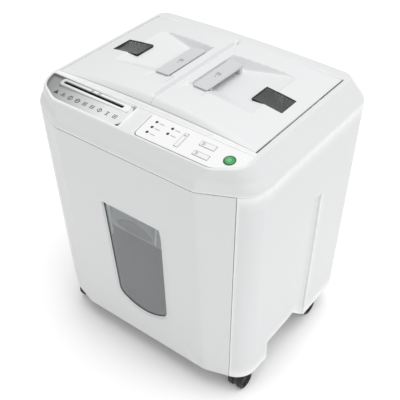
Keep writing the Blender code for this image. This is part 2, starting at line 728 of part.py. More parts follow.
def side_panel_row(z):
    """The side panel's outline at a height, from the door's edge to the back."""
    angle = math.atan(facet_slope(z))
    edge_x = door_edge_x(z) + SEAM_GAP
    edge = (edge_x, front_y(z) + (edge_x - flat_half(z)) * math.tan(angle))
    arc = [point for point in front_arc(z, 0.0) if point[0] > edge_x + 0.001]
    while len(arc) > 4:
        arc.pop(0)
    span = ARCH_BACK_Y - SIDE_SCOOP_FRONT_Y
    stations = [SIDE_SCOOP_FRONT_Y, SIDE_SCOOP_FRONT_Y + span / 2, ARCH_BACK_Y - 0.0015, ARCH_BACK_Y + 0.001]
    side = [(side_x(z) - side_scoop(y, z), y) for y in [ARCH_FRONT_Y] + stations]
    rear = rear_arc(z, 0.0)
    end = (HALF_WIDTH - 0.042, back_y(z))
    return [(x, y, z) for x, y in [edge] + arc + side + rear + [end]]


def arch_outline():
    """The arch between the feet, in y and z: upright at its front, sloping down to the rear foot."""
    below = BODY_BOTTOM_Z - 0.02
    rear = ARCH_BACK_Y - 0.003
    points = [(ARCH_FRONT_Y, below), (ARCH_FRONT_Y, ARCH_TOP_Z), (ARCH_SLOPE_Y, ARCH_TOP_Z)]
    return points + [(rear, BODY_BOTTOM_Z), (rear, below)]


def make_side_panels(finish):
    top = SEAM_Z
    levels = [BODY_BOTTOM_Z, ARCH_TOP_Z, SIDE_SCOOP_TOP_Z - 0.0015, SIDE_SCOOP_TOP_Z + 0.001, top]
    for side in (-1, 1):
        label = "left" if side < 0 else "right"
        mesh = panel_grid_mesh("side_panel", [side_panel_row(z) for z in levels])
        panel = add(label + "_side_panel", mirror_x(mesh, side), finish)
        solidify(panel, WALL)
        arch = plate_mesh("arch", [arch_outline()], ARCH_CUTTER_WIDTH)
        boolean(panel, cutter(label + "_arch", across_x(arch, side * HALF_WIDTH)))
        smooth(panel)


def make_rear_panel(finish):
    half = HALF_WIDTH - 0.042 - SEAM_GAP
    z0, z1 = BODY_BOTTOM_Z, SEAM_Z
    rings = []
    for z in (z0, z1):
        y = back_y(z)
        rings.append([(-half, y - WALL, z), (half, y - WALL, z), (half, y, z), (-half, y, z)])
    panel = add("rear_panel", loft_mesh("rear_panel", rings), finish)
    for name, x, width, height in inlet_cutouts(GAP):
        y = back_y(INLET_Z)
        low = (x - width / 2, y - 0.02, INLET_Z - height / 2)
        high = (x + width / 2, y + 0.02, INLET_Z + height / 2)
        boolean(panel, cutter(name, box_mesh(name, low, high)))
    for x, z in rear_screws():
        hole = rod_mesh("screw_hole", (x, back_y(z) - 0.02, z), (x, back_y(z) + 0.02, z), 0.0017 + GAP, 12)
        boolean(panel, cutter(f"screw_hole_{x:.3f}", hole))


def inlet_cutouts(grow):
    """Name, middle x, width and height of the openings for the mains inlet and switch."""
    height = INLET_HEIGHT + 2 * grow
    inlet = ("inlet_cutout", INLET_X, INLET_WIDTH + 2 * grow, height)
    return [inlet, ("switch_cutout", INLET_X + SWITCH_SPACING, SWITCH_WIDTH + 2 * grow, height)]


def rear_screws():
    return [(side * (HALF_WIDTH - 0.054), 0.455) for side in (-1, 1)]


def make_rear_screws(steel):
    head, shank = 0.0038, 0.0017
    profile = [(0, 0.0015), (head - 0.0004, 0.0015), (head, 0.0005), (head, GAP), (shank, GAP)]
    profile += [(shank, -0.009), (0, -0.009)]
    for (x, z), label in zip(rear_screws(), ("left", "right")):
        turned(f"rear_screw_{label}", profile, steel, (x, back_y(z), z), (0, 1, 0), 12)


def make_base(finish):
    inset = WALL + 0.002
    z = BODY_BOTTOM_Z
    front = front_y(z) + inset
    back = back_y(z) - inset
    half = side_x(z) - inset
    kink = FLAT_FRONT_HALF - inset
    right = [(kink, front), (door_edge_x(z) - 0.004, front + 0.020)]
    right += [(half - 0.015, front + 0.032), (half - 0.002, front + 0.056)]
    right += [(half, ARCH_FRONT_Y - 0.006), (BASE_WAIST_HALF, ARCH_FRONT_Y - 0.006)]
    right += [(BASE_WAIST_HALF, ARCH_BACK_Y + 0.006), (half, ARCH_BACK_Y + 0.006)]
    right += [(half, back - 0.018), (half - 0.018, back)]
    outline = right + [(-x, y) for x, y in reversed(right)]
    holes = []
    for x, y in caster_places():
        turns = [2 * math.pi * i / 16 for i in range(16)]
        radius = STEM_RADIUS + GAP
        holes.append([(x + radius * math.cos(t), y + radius * math.sin(t)) for t in turns])
    mesh = plate_mesh("base_plate", [outline] + holes, BASE_THICKNESS)
    mesh.transform(Matrix.Translation((0, 0, BASE_Z + BASE_THICKNESS / 2)))
    add("base_plate", mesh, finish)
    for side, label in ((-1, "left"), (1, "right")):
        x = side * (BIN_HALF_WIDTH - 0.020)
        low = (x - 0.006, front + 0.030, BASE_Z + BASE_THICKNESS + GAP)
        high = (x + 0.006, BACK_Y - BIN_REAR_GAP, BIN_FLOOR_Z - GAP)
        add(label + "_bin_rail", box_mesh("bin_rail", low, high), finish)


def caster_places():
    x = HALF_WIDTH - CASTER_INSET_X
    front, rear = FRONT_Y + CASTER_FRONT_Y, BACK_Y - CASTER_REAR_Y
    return [(-x, front), (x, front), (-x, rear), (x, rear)]


def make_casters(plastic):
    labels = ("front_left", "front_right", "rear_left", "rear_right")
    for label, (x, y) in zip(labels, caster_places()):
        axle = (x, y + CASTER_TRAIL, WHEEL_RADIUS)
        hub, gap = WHEEL_HUB_RADIUS, WHEEL_GAP_HALF
        rim, edge = WHEEL_RADIUS, WHEEL_EDGE
        profile = [
            (0, WHEEL_HALF_WIDTH - WHEEL_DISH),
            (rim - WHEEL_RIM, WHEEL_HALF_WIDTH),
            (rim - edge, WHEEL_HALF_WIDTH),
            (rim, WHEEL_HALF_WIDTH - edge),
            (rim, gap),
            (hub, gap),
        ]
        profile += [(radius, -height) for radius, height in reversed(profile)]
        turned(f"caster_{label}_wheel", profile, plastic, axle, (1, 0, 0), 18)
        half = gap - WHEEL_PLAY
        steps = 14
        turns = [2 * math.pi * i / steps for i in range(steps)]
        reach = WHEEL_RADIUS - FORK_RIB_DROP
        disc = [(axle[1] + reach * math.cos(t), axle[2] + reach * math.sin(t)) for t in turns]
        play = hub + WHEEL_PLAY
        bore = [(axle[1] + play * math.cos(t), axle[2] + play * math.sin(t)) for t in turns]
        mesh = across_x(plate_mesh("caster_fork", [disc, bore], 2 * half), x)
        fork = add(f"caster_{label}_fork", mesh, plastic, (x, y, WHEEL_RADIUS))
        low = (x - half, y - STEM_RADIUS, WHEEL_RADIUS + 0.008)
        neck = box_mesh("neck", low, (x + half, y + CASTER_TRAIL + 0.004, COLLAR_Z + 0.004))
        stem_top = BASE_Z + BASE_THICKNESS - 0.0005
        stem = rod_mesh("stem", (x, y, COLLAR_Z - 0.001), (x, y, stem_top), STEM_RADIUS, 12)
        collar = rod_mesh("collar", (x, y, COLLAR_Z), (x, y, BASE_Z - 0.001), STEM_RADIUS * 2, 16)
        for name, piece in (("neck", neck), ("stem", stem), ("collar", collar)):
            boolean(fork, cutter(f"{label}_{name}", piece), "UNION")


# ---------------------------------------------------------------- lids and chambers


def lid_mesh(name):
    inner_scoop = HANDLE_INNER_X - SCOOP_WALL
    outer_handle = HANDLE_INNER_X + HANDLE_WIDTH
    xs = [LID_SPLIT_HALF, VALLEY_HALF, 0.015, inner_scoop - SCOOP_WALL, inner_scoop, outer_handle]
    xs += [outer_handle + 0.05, SCOOP_OUTER_X, LID_EDGE_X - LID_WINDOW_OUTER, HINGE_X + 0.003]
    half = HANDLE_LENGTH / 2 + SCOOP_WALL
    ys = [LID_FRONT_Y, LID_FRONT_Y + 0.005, LID_FRONT_Y + LID_NOSE, LID_FRONT_Y + LID_NOSE + 0.001]
    ys += [HANDLE_MIDDLE_Y - half - SCOOP_WALL, HANDLE_MIDDLE_Y - half]
    ys += [HANDLE_MIDDLE_Y + half, HANDLE_MIDDLE_Y + half + SCOOP_WALL]
    ys += [LID_BACK_Y - LID_NOSE, LID_BACK_Y - 0.005, LID_BACK_Y]
    return field_mesh(name, xs, ys, lid_top, lambda x, y: lid_top(x, y) - LID_THICKNESS)


def lid_window_box(grow, z0, z1):
    outer = LID_EDGE_X - LID_WINDOW_OUTER + grow
    half = LID_WINDOW_DEPTH / 2 + grow
    low = (outer - LID_WINDOW_WIDTH - 2 * grow, LID_WINDOW_MIDDLE_Y - half, z0)
    return low, (outer, LID_WINDOW_MIDDLE_Y + half, z1)


def make_lid(side, white, grey, smoked, steel):
    label = "left" if side < 0 else "right"
    axis = (side * HINGE_X, BARREL_MIDDLE_Y, HINGE_Z)
    lid = add(label + "_lid", mirror_x(lid_mesh("lid"), side), white, axis)
    near, far = BARREL_MIDDLE_Y - BARREL_HALF_LENGTH, BARREL_MIDDLE_Y + BARREL_HALF_LENGTH
    barrel = rod_mesh("barrel", (side * HINGE_X, near, HINGE_Z), (side * HINGE_X, far, HINGE_Z), BARREL_RADIUS)
    boolean(lid, cutter(label + "_barrel", barrel), "UNION")
    low = (HINGE_X - BARREL_RADIUS * 0.7, near + 0.0005, HINGE_Z)
    high = (HINGE_X + 0.002, far - 0.0005, TOP_Z - LID_THICKNESS / 2)
    web = mirror_x(box_mesh("web", low, high), side)
    boolean(lid, cutter(label + "_web", web), "UNION")
    ends = [(side * HINGE_X, BARREL_MIDDLE_Y + end * 0.1, HINGE_Z) for end in (-1, 1)]
    boolean(lid, cutter(label + "_barrel_bore", rod_mesh("bore", *ends, ROD_RADIUS + GAP, 12)))
    hole = mirror_x(box_mesh("hole", *lid_window_box(0.0, TOP_Z - 0.02, TOP_Z + 0.04)), side)
    boolean(lid, cutter(label + "_window_hole", hole))
    smooth(lid, 50)

    reach = BARREL_HALF_LENGTH + LUG_THICKNESS
    ends = [(side * HINGE_X, BARREL_MIDDLE_Y + end * reach, HINGE_Z) for end in (-1, 1)]
    smooth(add(label + "_hinge_rod", rod_mesh("hinge_rod", *ends, ROD_RADIUS, 12), steel))
    make_lid_window(side, label, smoked, axis)
    make_lid_handle(side, label, grey, axis)


def make_lid_window(side, label, smoked, axis):
    """A smoked pane that sags a little between its front and back edges."""
    low, high = lid_window_box(-GAP, 0, 0)
    xs = [low[0] + (high[0] - low[0]) * i / 2 for i in range(3)]
    ys = [low[1] + (high[1] - low[1]) * i / 4 for i in range(5)]

    def top(x, y):
        bow = 1 - ((y - LID_WINDOW_MIDDLE_Y) / (LID_WINDOW_DEPTH / 2)) ** 2
        return lid_dome(x, y) - 0.0004 - 0.0015 * bow

    mesh = field_mesh("lid_window", xs, ys, top, lambda x, y: top(x, y) - PANE_THICKNESS)
    smooth(add(label + "_lid_window", mirror_x(mesh, side), smoked, axis))


def make_lid_handle(side, label, grey, axis):
    """A grip bar bridging the scoop, flush with the lid, on a leg at each end."""
    x0, x1 = HANDLE_INNER_X, HANDLE_INNER_X + HANDLE_WIDTH
    y0, y1 = HANDLE_MIDDLE_Y - HANDLE_LENGTH / 2, HANDLE_MIDDLE_Y + HANDLE_LENGTH / 2
    leg = HANDLE_THICKNESS
    ys = [y0, y0 + leg, y1 - leg, y1]

    def top(x, y):
        return lid_dome(x, y)

    bar = field_mesh("handle", [x0, (x0 + x1) / 2, x1], ys, top, lambda x, y: top(x, y) - leg)
    handle = add(label + "_lid_handle", mirror_x(bar, side), grey, axis)
    for end, (low_y, high_y) in (("front", (y0, y0 + leg)), ("rear", (y1 - leg, y1))):
        foot = [(x, y) for x, y in ((x0, low_y), (x1, low_y), (x1, high_y), (x0, high_y))]
        bottom = [(x, y, lid_top(x, HANDLE_MIDDLE_Y) + GAP) for x, y in foot]
        upper = [(x, y, top(x, y) - leg / 2) for x, y in foot]
        mesh = mirror_x(loft_mesh("leg", [bottom, upper]), side)
        boolean(handle, cutter(f"{label}_handle_{end}_leg", mesh), "UNION")


def make_trays(finish):
    y0, y1 = LID_FRONT_Y + TRAY_END_GAP, LID_BACK_Y - TRAY_END_GAP
    for side in (-1, 1):
        label = "left" if side < 0 else "right"
        low, high = (TRAY_INNER_X, y0, TRAY_FLOOR_Z), (TRAY_OUTER_X, y1, TRAY_RIM_Z)
        tray = add(label + "_paper_tray", mirror_x(box_mesh("paper_tray", low, high), side), finish)
        low = (TRAY_INNER_X + TRAY_WALL, y0 + TRAY_WALL, TRAY_FLOOR_Z + TRAY_WALL)
        high = (TRAY_OUTER_X - TRAY_WALL, y1 - TRAY_WALL, TRAY_RIM_Z + 0.02)
        boolean(tray, cutter(label + "_chamber", mirror_x(box_mesh("chamber", low, high), side)))
        low = (TRAY_INNER_X + FEED_SLOT_END, HEAD_Y - FEED_SLOT_HALF, TRAY_FLOOR_Z - 0.02)
        high = (TRAY_OUTER_X - FEED_SLOT_END, HEAD_Y + FEED_SLOT_HALF, TRAY_FLOOR_Z + 0.02)
        boolean(tray, cutter(label + "_feed_slot", mirror_x(box_mesh("feed_slot", low, high), side)))


# ---------------------------------------------------------------- cutting head


def gear_outline(teeth, tooth_angle):
    """Trapezoid teeth about the origin, one of them centred on the given angle."""
    pitch = 2 * math.pi / teeth
    radius = teeth * MODULE / 2
    points = []
    for i in range(teeth):
        middle = tooth_angle + i * pitch
        for reach, share in ((-1.2, -0.29), (0.85, -0.12), (0.85, 0.12), (-1.2, 0.29)):
            angle = middle + share * pitch
            tip = radius + reach * MODULE
            points.append((tip * math.cos(angle), tip * math.sin(angle)))
    return points


def circle(radius, sides=16):
    turns = [2 * math.pi * i / sides for i in range(sides)]
    return [(radius * math.cos(t), radius * math.sin(t)) for t in turns]


def gear_mesh(name, teeth, tooth_angle, centre, x, width, bore):
    outlines = [gear_outline(teeth, tooth_angle)]
    if bore:
        outlines.append(circle(bore, 12))
    mesh = across_x(plate_mesh(name, outlines, width), x + width / 2)
    mesh.transform(Matrix.Translation((0, *centre)))
    return mesh


def meshing_angle(teeth, angle, centre, other_teeth, other_centre):
    """The tooth angle of the second gear that puts it in mesh with the first."""
    towards = math.atan2(other_centre[1] - centre[1], other_centre[0] - centre[0])
    share = ((towards - angle) * teeth / (2 * math.pi)) % 1.0
    return towards + math.pi + (share + 0.5) * 2 * math.pi / other_teeth


def gear_centres():
    """Where each gear turns, as (y, z)."""
    front = (HEAD_Y - CUTTER_SPACING / 2, CUTTER_Z)
    rear = (HEAD_Y + CUTTER_SPACING / 2, CUTTER_Z)
    reduction = (rear[0] + (CUTTER_TEETH + REDUCTION_PINION_TEETH) * MODULE / 2, CUTTER_Z)
    motor = (reduction[0] + (REDUCTION_TEETH + MOTOR_TEETH) * MODULE / 2, CUTTER_Z)
    return {"front": front, "rear": rear, "feed": (HEAD_Y, FEED_Z), "reduction": reduction, "motor": motor}


def cutter_profile(shift, span):
    """A cutter shaft's profile from its gear end down: journal, core with discs, journal."""
    pitch = 2 * (span - CUTTER_DISC_RADIUS) / CUTTER_DISCS
    disc = pitch / 2 - 2 * CUTTER_PLAY
    journal, core, edge = CUTTER_JOURNAL_RADIUS, CUTTER_CORE_RADIUS, CUTTER_DISC_RADIUS
    points = []
    for i in range(CUTTER_DISCS):
        middle = span - CUTTER_DISC_RADIUS - pitch * (i + 0.25 + shift)
        upper, lower = middle + disc / 2, middle - disc / 2
        points += [(core, upper), (edge, upper), (edge, lower), (core, lower)]
    return [(journal, span), (core, span)] + points + [(core, -span), (journal, -span)]


def make_cutting_head(steel, gear_grey, rubber):
    centres = gear_centres()
    plate0, plate1 = HEAD_PLATE_X, HEAD_PLATE_X + HEAD_PLATE_THICKNESS
    gear_x2 = GEAR_X + GEAR_WIDTH + GEAR_PITCH_GAP
    gear_x3 = gear_x2 + GEAR_WIDTH + GEAR_PITCH_GAP
    ends = {"front": gear_x2 + GEAR_WIDTH + 0.0005, "rear": GEAR_X + GEAR_WIDTH + 0.0005}
    span = HEAD_PLATE_X - CUTTER_PLAY
    for name, shift in (("front", 0.0), ("rear", 0.5)):
        y, z = centres[name]
        profile = [(0, ends[name]), (CUTTER_JOURNAL_RADIUS, ends[name])] + cutter_profile(shift, span)
        profile += [(CUTTER_JOURNAL_RADIUS, -plate1 - 0.002), (0, -plate1 - 0.002)]
        turned(f"{name}_cutter", profile, steel, (0, y, z), (1, 0, 0), 14)

    front_angle = 0.0
    rear_angle = meshing_angle(CUTTER_TEETH, front_angle, centres["front"], CUTTER_TEETH, centres["rear"])
    feed_angle = meshing_angle(CUTTER_TEETH, front_angle, centres["front"], FEED_TEETH, centres["feed"])
    pinion_angle = meshing_angle(
        CUTTER_TEETH, rear_angle, centres["rear"], REDUCTION_PINION_TEETH, centres["reduction"]
    )
    big_angle = 0.0
    reduction, motor = centres["reduction"], centres["motor"]
    motor_angle = meshing_angle(REDUCTION_TEETH, big_angle, reduction, MOTOR_TEETH, motor)
    bore = CUTTER_JOURNAL_RADIUS + GAP

    def gear(name, teeth, angle, key, x, width, hole, finish=gear_grey):
        mesh = gear_mesh(name, teeth, angle, centres[key], x, width, hole)
        return add(name, mesh, finish, (x, *centres[key]))

    wide = 2 * GEAR_WIDTH + GEAR_PITCH_GAP
    gear("front_cutter_gear", CUTTER_TEETH, front_angle, "front", GEAR_X, wide, bore)
    gear("rear_cutter_gear", CUTTER_TEETH, rear_angle, "rear", GEAR_X, GEAR_WIDTH, bore)
    gear("feed_gear", FEED_TEETH, feed_angle, "feed", gear_x2, GEAR_WIDTH, FEED_SHAFT_RADIUS + GAP)
    axle = 0.003
    small = gear("reduction_gear", REDUCTION_TEETH, big_angle, "reduction", gear_x3, GEAR_WIDTH - 0.001, axle + GAP)
    pinion = gear_mesh(
        "reduction_pinion", REDUCTION_PINION_TEETH, pinion_angle, centres["reduction"], GEAR_X, GEAR_WIDTH, axle + GAP
    )
    boolean(small, cutter("reduction_pinion", pinion), "UNION")
    y, z = centres["reduction"]
    hub = rod_mesh("hub", (GEAR_X + 0.003, y, z), (gear_x3 + 0.002, y, z), 0.008, 16)
    hub_bore = rod_mesh("hub_bore", (GEAR_X - 0.01, y, z), (gear_x3 + 0.02, y, z), axle + GAP, 12)
    boolean(small, cutter("reduction_hub", hub), "UNION")
    boolean(small, cutter("reduction_bore", hub_bore))
    stub = rod_mesh("reduction_axle", (plate1 + GAP, y, z), (gear_x3 + GEAR_WIDTH - 0.001, y, z), axle, 12)
    smooth(add("reduction_axle", stub, steel))

    make_motor(centres["motor"], motor_angle, gear_x3, plate0, steel, gear_grey)
    make_feed_shaft(centres["feed"], gear_x2, plate1, steel, rubber)
    make_head_plates(centres, steel)


def make_motor(centre, angle, gear_x, plate_x, steel, gear_grey):
    y, z = centre
    face = plate_x - GAP
    tail = face - MOTOR_LENGTH
    profile = [
        (0, face),
        (0.020, face),
        (0.020, face - 0.006),
        (MOTOR_RADIUS - 0.004, face - 0.006),
        (MOTOR_RADIUS, face - 0.012),
        (MOTOR_RADIUS, tail + 0.010),
        (MOTOR_RADIUS - 0.006, tail),
        (0, tail),
    ]
    body = turned("motor", profile, steel, (0, y, z), (1, 0, 0), 20)
    bore = rod_mesh(
        "motor_bore", (face - 0.030, y, z), (face + 0.01, y, z), MOTOR_SHAFT_RADIUS + GAP, 12
    )
    boolean(body, cutter("motor_bore", bore))
    width = GEAR_WIDTH - 0.001
    pinion = gear_mesh("motor_pinion", MOTOR_TEETH, angle, centre, gear_x, width, 0)
    rotor = add("motor_pinion", pinion, gear_grey, (gear_x, y, z))
    shaft = rod_mesh("motor_shaft", (face - 0.029, y, z), (gear_x + 0.002, y, z), MOTOR_SHAFT_RADIUS, 12)
    boolean(rotor, cutter("motor_shaft", shaft), "UNION")


def make_feed_shaft(centre, gear_x, plate_x, steel, rubber):
    y, z = centre
    shaft = rod_mesh("feed_shaft", (-plate_x - 0.001, y, z), (gear_x + GEAR_WIDTH, y, z), FEED_SHAFT_RADIUS, 14)
    smooth(add("feed_shaft", shaft, steel, (0, y, z)))
    middle = (TRAY_INNER_X + TRAY_OUTER_X) / 2
    for side, label in ((-1, "left"), (1, "right")):
        half = FEED_ROLLER_LENGTH / 2
        bore, outer = FEED_SHAFT_RADIUS + GAP, FEED_ROLLER_RADIUS
        profile = [(bore, half), (outer - 0.001, half), (outer, half - 0.001), (outer, 0.001 - half)]
        profile += [(outer - 0.001, -half), (bore, -half)]
        turned(f"{label}_feed_roller", profile, rubber, (side * middle, y, z), (1, 0, 0), 18)


def make_head_plates(centres, steel):
    """Two steel plates that carry the shafts, standing on two crossbars between the cabinet's sides."""
    low_z = CROSSBAR_TOP_Z + GAP
    front = HEAD_Y - 0.053
    back = centres["motor"][0] + 0.030
    outline = [
        (front, low_z),
        (back, low_z),
        (back, CUTTER_Z + 0.045),
        (HEAD_Y + 0.030, FEED_Z + 0.010),
        (HEAD_Y - 0.030, FEED_Z + 0.010),
        (front, CUTTER_Z + 0.030),
    ]
    holes = [("front", CUTTER_JOURNAL_RADIUS), ("rear", CUTTER_JOURNAL_RADIUS), ("feed", FEED_SHAFT_RADIUS)]
    for side, label in ((-1, "left"), (1, "right")):
        outlines = [outline]
        cuts = holes + ([("motor", MOTOR_SHAFT_RADIUS + 0.001)] if side > 0 else [])
        for key, radius in cuts:
            y, z = centres[key]
            outlines.append([(y + py, z + pz) for py, pz in circle(radius + GAP, 16)])
        x = side * (HEAD_PLATE_X + HEAD_PLATE_THICKNESS / 2)
        mesh = across_x(plate_mesh("head_plate", outlines, HEAD_PLATE_THICKNESS), x)
        add(f"{label}_head_plate", mesh, steel)
    half = side_x(CROSSBAR_TOP_Z - CROSSBAR_HEIGHT) - WALL - 0.0006
    for label, y in (("front", front + 0.002), ("rear", back - 0.002 - CROSSBAR_DEPTH)):
        low = (-half, y, CROSSBAR_TOP_Z - CROSSBAR_HEIGHT)
        high = (half, y + CROSSBAR_DEPTH, CROSSBAR_TOP_Z)
        add(f"{label}_crossbar", box_mesh("crossbar", low, high), steel)


# ---------------------------------------------------------------- bin


def bin_front_row(z, wall):
    """The door's outline at a height, from edge to edge across the flat front."""
    angle = math.atan(facet_slope(z))
    kink = FLAT_FRONT_HALF - wall * math.tan(angle / 2)
    edge = door_edge_x(z) - SEAM_GAP / 2
    edge_y = front_y(z) + (edge - FLAT_FRONT_HALF) * math.tan(angle)
    right = [(kink, front_y(z) + wall), (edge - wall * math.sin(angle), edge_y + wall * math.cos(angle))]
    return [(-x, y) for x, y in reversed(right)] + right


def window_outline(grow, top_z):
    """The window's outline: straight sides drawing in downwards, and a bottom edge that hangs in an arc."""
    low = WINDOW_BOTTOM_Z - grow
    corner = low + WINDOW_SAG
    half = WINDOW_BOTTOM_HALF + grow
    steps = 6
    arc = []
    for i in range(steps + 1):
        x = half * (1 - 2 * i / steps)
        arc.append((x, low + WINDOW_SAG * (x / half) ** 2 if 0 < i < steps else corner))
    return [(-WINDOW_TOP_HALF - grow, top_z), (WINDOW_TOP_HALF + grow, top_z)] + arc


def make_bin(white, smoked, grey):
    z0, z1 = BODY_BOTTOM_Z, SEAM_Z
    rings = []
    for z in (z0, z1):
        outer, inner = bin_front_row(z, 0.0), bin_front_row(z, WALL)
        rings.append([(x, y, z) for x, y in outer + list(reversed(inner))])
    door = add("bin_front", loft_mesh("bin_front", rings), white)
    frame_half = WINDOW_TOP_HALF + RECESS_SIDE + BEZEL_RIM
    low_z, high_z = WINDOW_BOTTOM_Z - RECESS_BELOW - 0.006, RECESS_TOP_Z + 0.006
    block = []
    for z in (low_z, high_z):
        y = front_y(z)
        depths = ((-1, WALL / 2), (1, WALL / 2), (1, BEZEL_DEPTH), (-1, BEZEL_DEPTH))
        block.append([(edge * frame_half, y + depth, z) for edge, depth in depths])
    boolean(door, cutter("bezel", loft_mesh("bezel", block)), "UNION")
    glass = window_outline(0.0, WINDOW_TOP_Z)
    rim = [(x, z) for x, z in window_outline(RECESS_SIDE, RECESS_TOP_Z)]
    rim = [(x, z - (RECESS_BELOW - RECESS_SIDE) if z < WINDOW_TOP_Z / 2 else z) for x, z in rim]
    mouth = [(x + x * 0.02, front_y(z) - 0.002, z) for x, z in rim]
    floor = [(x, front_y(z) + WINDOW_RECESS, z) for x, z in glass]
    boolean(door, cutter("window_scoop", loft_mesh("window_scoop", [mouth, floor])))
    through = [[(x, front_y(z) + depth, z) for x, z in glass] for depth in (WINDOW_RECESS - 0.001, 0.03)]
    boolean(door, cutter("window_hole", loft_mesh("window_hole", through)))
    pane = [(x * 0.995, z + (0.0004 if z < WINDOW_TOP_Z else -0.0004)) for x, z in glass]
    faces = [[(x, front_y(z) + depth, z) for x, z in pane] for depth in (WINDOW_RECESS, WINDOW_RECESS + 0.003)]
    add("bin_window", loft_mesh("bin_window", faces), smoked)
    make_bin_tub(grey)


def make_bin_tub(grey):
    """An open-topped tub whose front wall leans with the door."""
    back = BACK_Y - BIN_REAR_GAP
    lean = BEZEL_DEPTH + GAP

    def corners(z, wall):
        half = BIN_HALF_WIDTH - wall
        shallow = FLAT_FRONT_HALF - 0.02 - wall
        front = front_y(z) + lean + wall
        side = front + 0.016
        return [
            (-shallow, front, z),
            (shallow, front, z),
            (half, side + 0.010, z),
            (half, back - wall, z),
            (-half, back - wall, z),
            (-half, side + 0.010, z),
        ]

    tub = add("bin_tub", loft_mesh("bin_tub", [corners(BIN_FLOOR_Z, 0.0), corners(BIN_TOP_Z, 0.0)]), grey)
    hollow = [corners(BIN_FLOOR_Z + BIN_WALL, BIN_WALL), corners(BIN_TOP_Z + 0.02, BIN_WALL)]
    boolean(tub, cutter("bin_hollow", loft_mesh("bin_hollow", hollow)))
    view = window_outline(-TUB_VIEW_INSET, TUB_VIEW_TOP_Z)
    depths = (lean - OVERSHOOT, lean + BIN_WALL + OVERSHOOT)
    rings = [[(x, front_y(z) + depth, z) for x, z in view] for depth in depths]
    boolean(tub, cutter("tub_view", loft_mesh("tub_view", rings)))


# ---------------------------------------------------------------- electrics


def make_electrics(black, board_green, copper):
    names = ("mains_inlet", "mains_switch")
    for name, (_, x, width, height) in zip(names, inlet_cutouts(0.0)):
        y = back_y(INLET_Z + INLET_HEIGHT / 2)
        if name == "mains_inlet":
            low = (x - width / 2, y - 0.022, INLET_Z - height / 2)
            high = (x + width / 2, y, INLET_Z + height / 2)
            inlet = add(name, box_mesh(name, low, high), black)
            low = (x - width / 2 + 0.003, y - 0.015, INLET_Z - height / 2 + 0.003)
            high = (x + width / 2 - 0.003, y + 0.01, INLET_Z + height / 2 - 0.003)
            boolean(inlet, cutter("inlet_socket", box_mesh("inlet_socket", low, high)))
        else:
            half = height / 2 - 0.0012
            y -= 0.002
            outline = [(y - 0.008, -0.004), (y + 0.0004, -half), (y, 0.0), (y + 0.0022, half), (y - 0.008, 0.004)]
            mesh = across_x(plate_mesh(name, [outline], width - 0.002), x)
            mesh.transform(Matrix.Translation((0, 0, INLET_Z)))
            add(name, mesh, black, (x, y - 0.004, INLET_Z))
    panel_x = PANEL_LEFT_X + 0.010
    half = ((side_x(TOP_Z) - 0.034 - panel_x) / 2, 0.015)
    depth = PANEL_THICKNESS + KEY_DEPTH + 0.003
    mesh = box_mesh("control_board", (-half[0], -half[1], -BOARD_THICKNESS), (half[0], half[1], 0))
    mesh.transform(on_strip(panel_x + half[0], (STRIP_BACK_Y + STRIP_FRONT_Y) / 2 + 0.006, depth))
    add("control_board", mesh, board_green)
    low = (-HALF_WIDTH + 0.066, BACK_Y - 0.030, CUTTER_Z - 0.045)
    high = (-HALF_WIDTH + 0.216, BACK_Y - 0.030 + BOARD_THICKNESS, CUTTER_Z + 0.045)
    add("power_board", box_mesh("power_board", low, high), board_green)
    low = (0.150, BACK_Y - BIN_REAR_GAP + 0.002, 0.240)
    high = (0.170, BACK_Y - BIN_REAR_GAP + 0.012, 0.250)
    switch = add("bin_microswitch", box_mesh("bin_microswitch", low, high), copper)
    nose = box_mesh("switch_nose", (0.157, low[1] - 0.0015, 0.243), (0.163, low[1] + 0.003, 0.247))
    boolean(switch, cutter("switch_nose", nose), "UNION")


def main():
    clear_scene()
    white = material("white_housing", (0.80, 0.81, 0.82), 0.38)
    panel_white = material("panel_white", (0.90, 0.90, 0.90), 0.35)
    handle_grey = material("handle_grey", (0.62, 0.63, 0.64), 0.45)
    key_grey = material("key_grey", (0.82, 0.83, 0.84), 0.4)
    smoked = material("smoked_clear", (0.08, 0.085, 0.09), 0.12)
    window_clear = material("bin_window_clear", (0.40, 0.42, 0.44), 0.15)
    green = material("power_green", (0.03, 0.42, 0.10), 0.3)
    dark_green = material("ring_green", (0.01, 0.16, 0.05), 0.35)
    black = material("black_plastic", (0.02, 0.02, 0.022), 0.45)
    steel = material("steel", (0.55, 0.56, 0.58), 0.3, 1.0)
    gear_grey = material("gear_nylon", (0.75, 0.73, 0.68), 0.5)
    rubber = material("feed_rubber", (0.05, 0.05, 0.05), 0.8)
    tray_grey = material("tray_grey", (0.35, 0.36, 0.37), 0.5)
    board = material("board_green", (0.02, 0.20, 0.08), 0.5)
    amber = material("switch_amber", (0.60, 0.40, 0.10), 0.4)
    lens = material("light_lens", (0.12, 0.03, 0.03), 0.2)

    make_top_cover(white)
    make_side_panels(white)
    make_rear_panel(white)
    make_rear_screws(steel)
    make_base(black)
    make_casters(black)
    for side in (-1, 1):
        make_lid(side, white, handle_grey, smoked, steel)
    make_trays(tray_grey)
    make_disc_slot(handle_grey)
    make_control_panel(panel_white, key_grey, green, dark_green, lens)
    make_cutting_head(steel, gear_grey, rubber)
    make_bin(white, window_clear, tray_grey)
    make_electrics(black, board, amber)


main()
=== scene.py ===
"""Auto-feed paper shredder: the looks of its housing, lids, controls, bin, cutting head and casters."""

import logging
import math
from collections.abc import Callable, Sequence
from dataclasses import dataclass
from enum import Enum

import bmesh
import bpy
from mathutils import Matrix, Vector


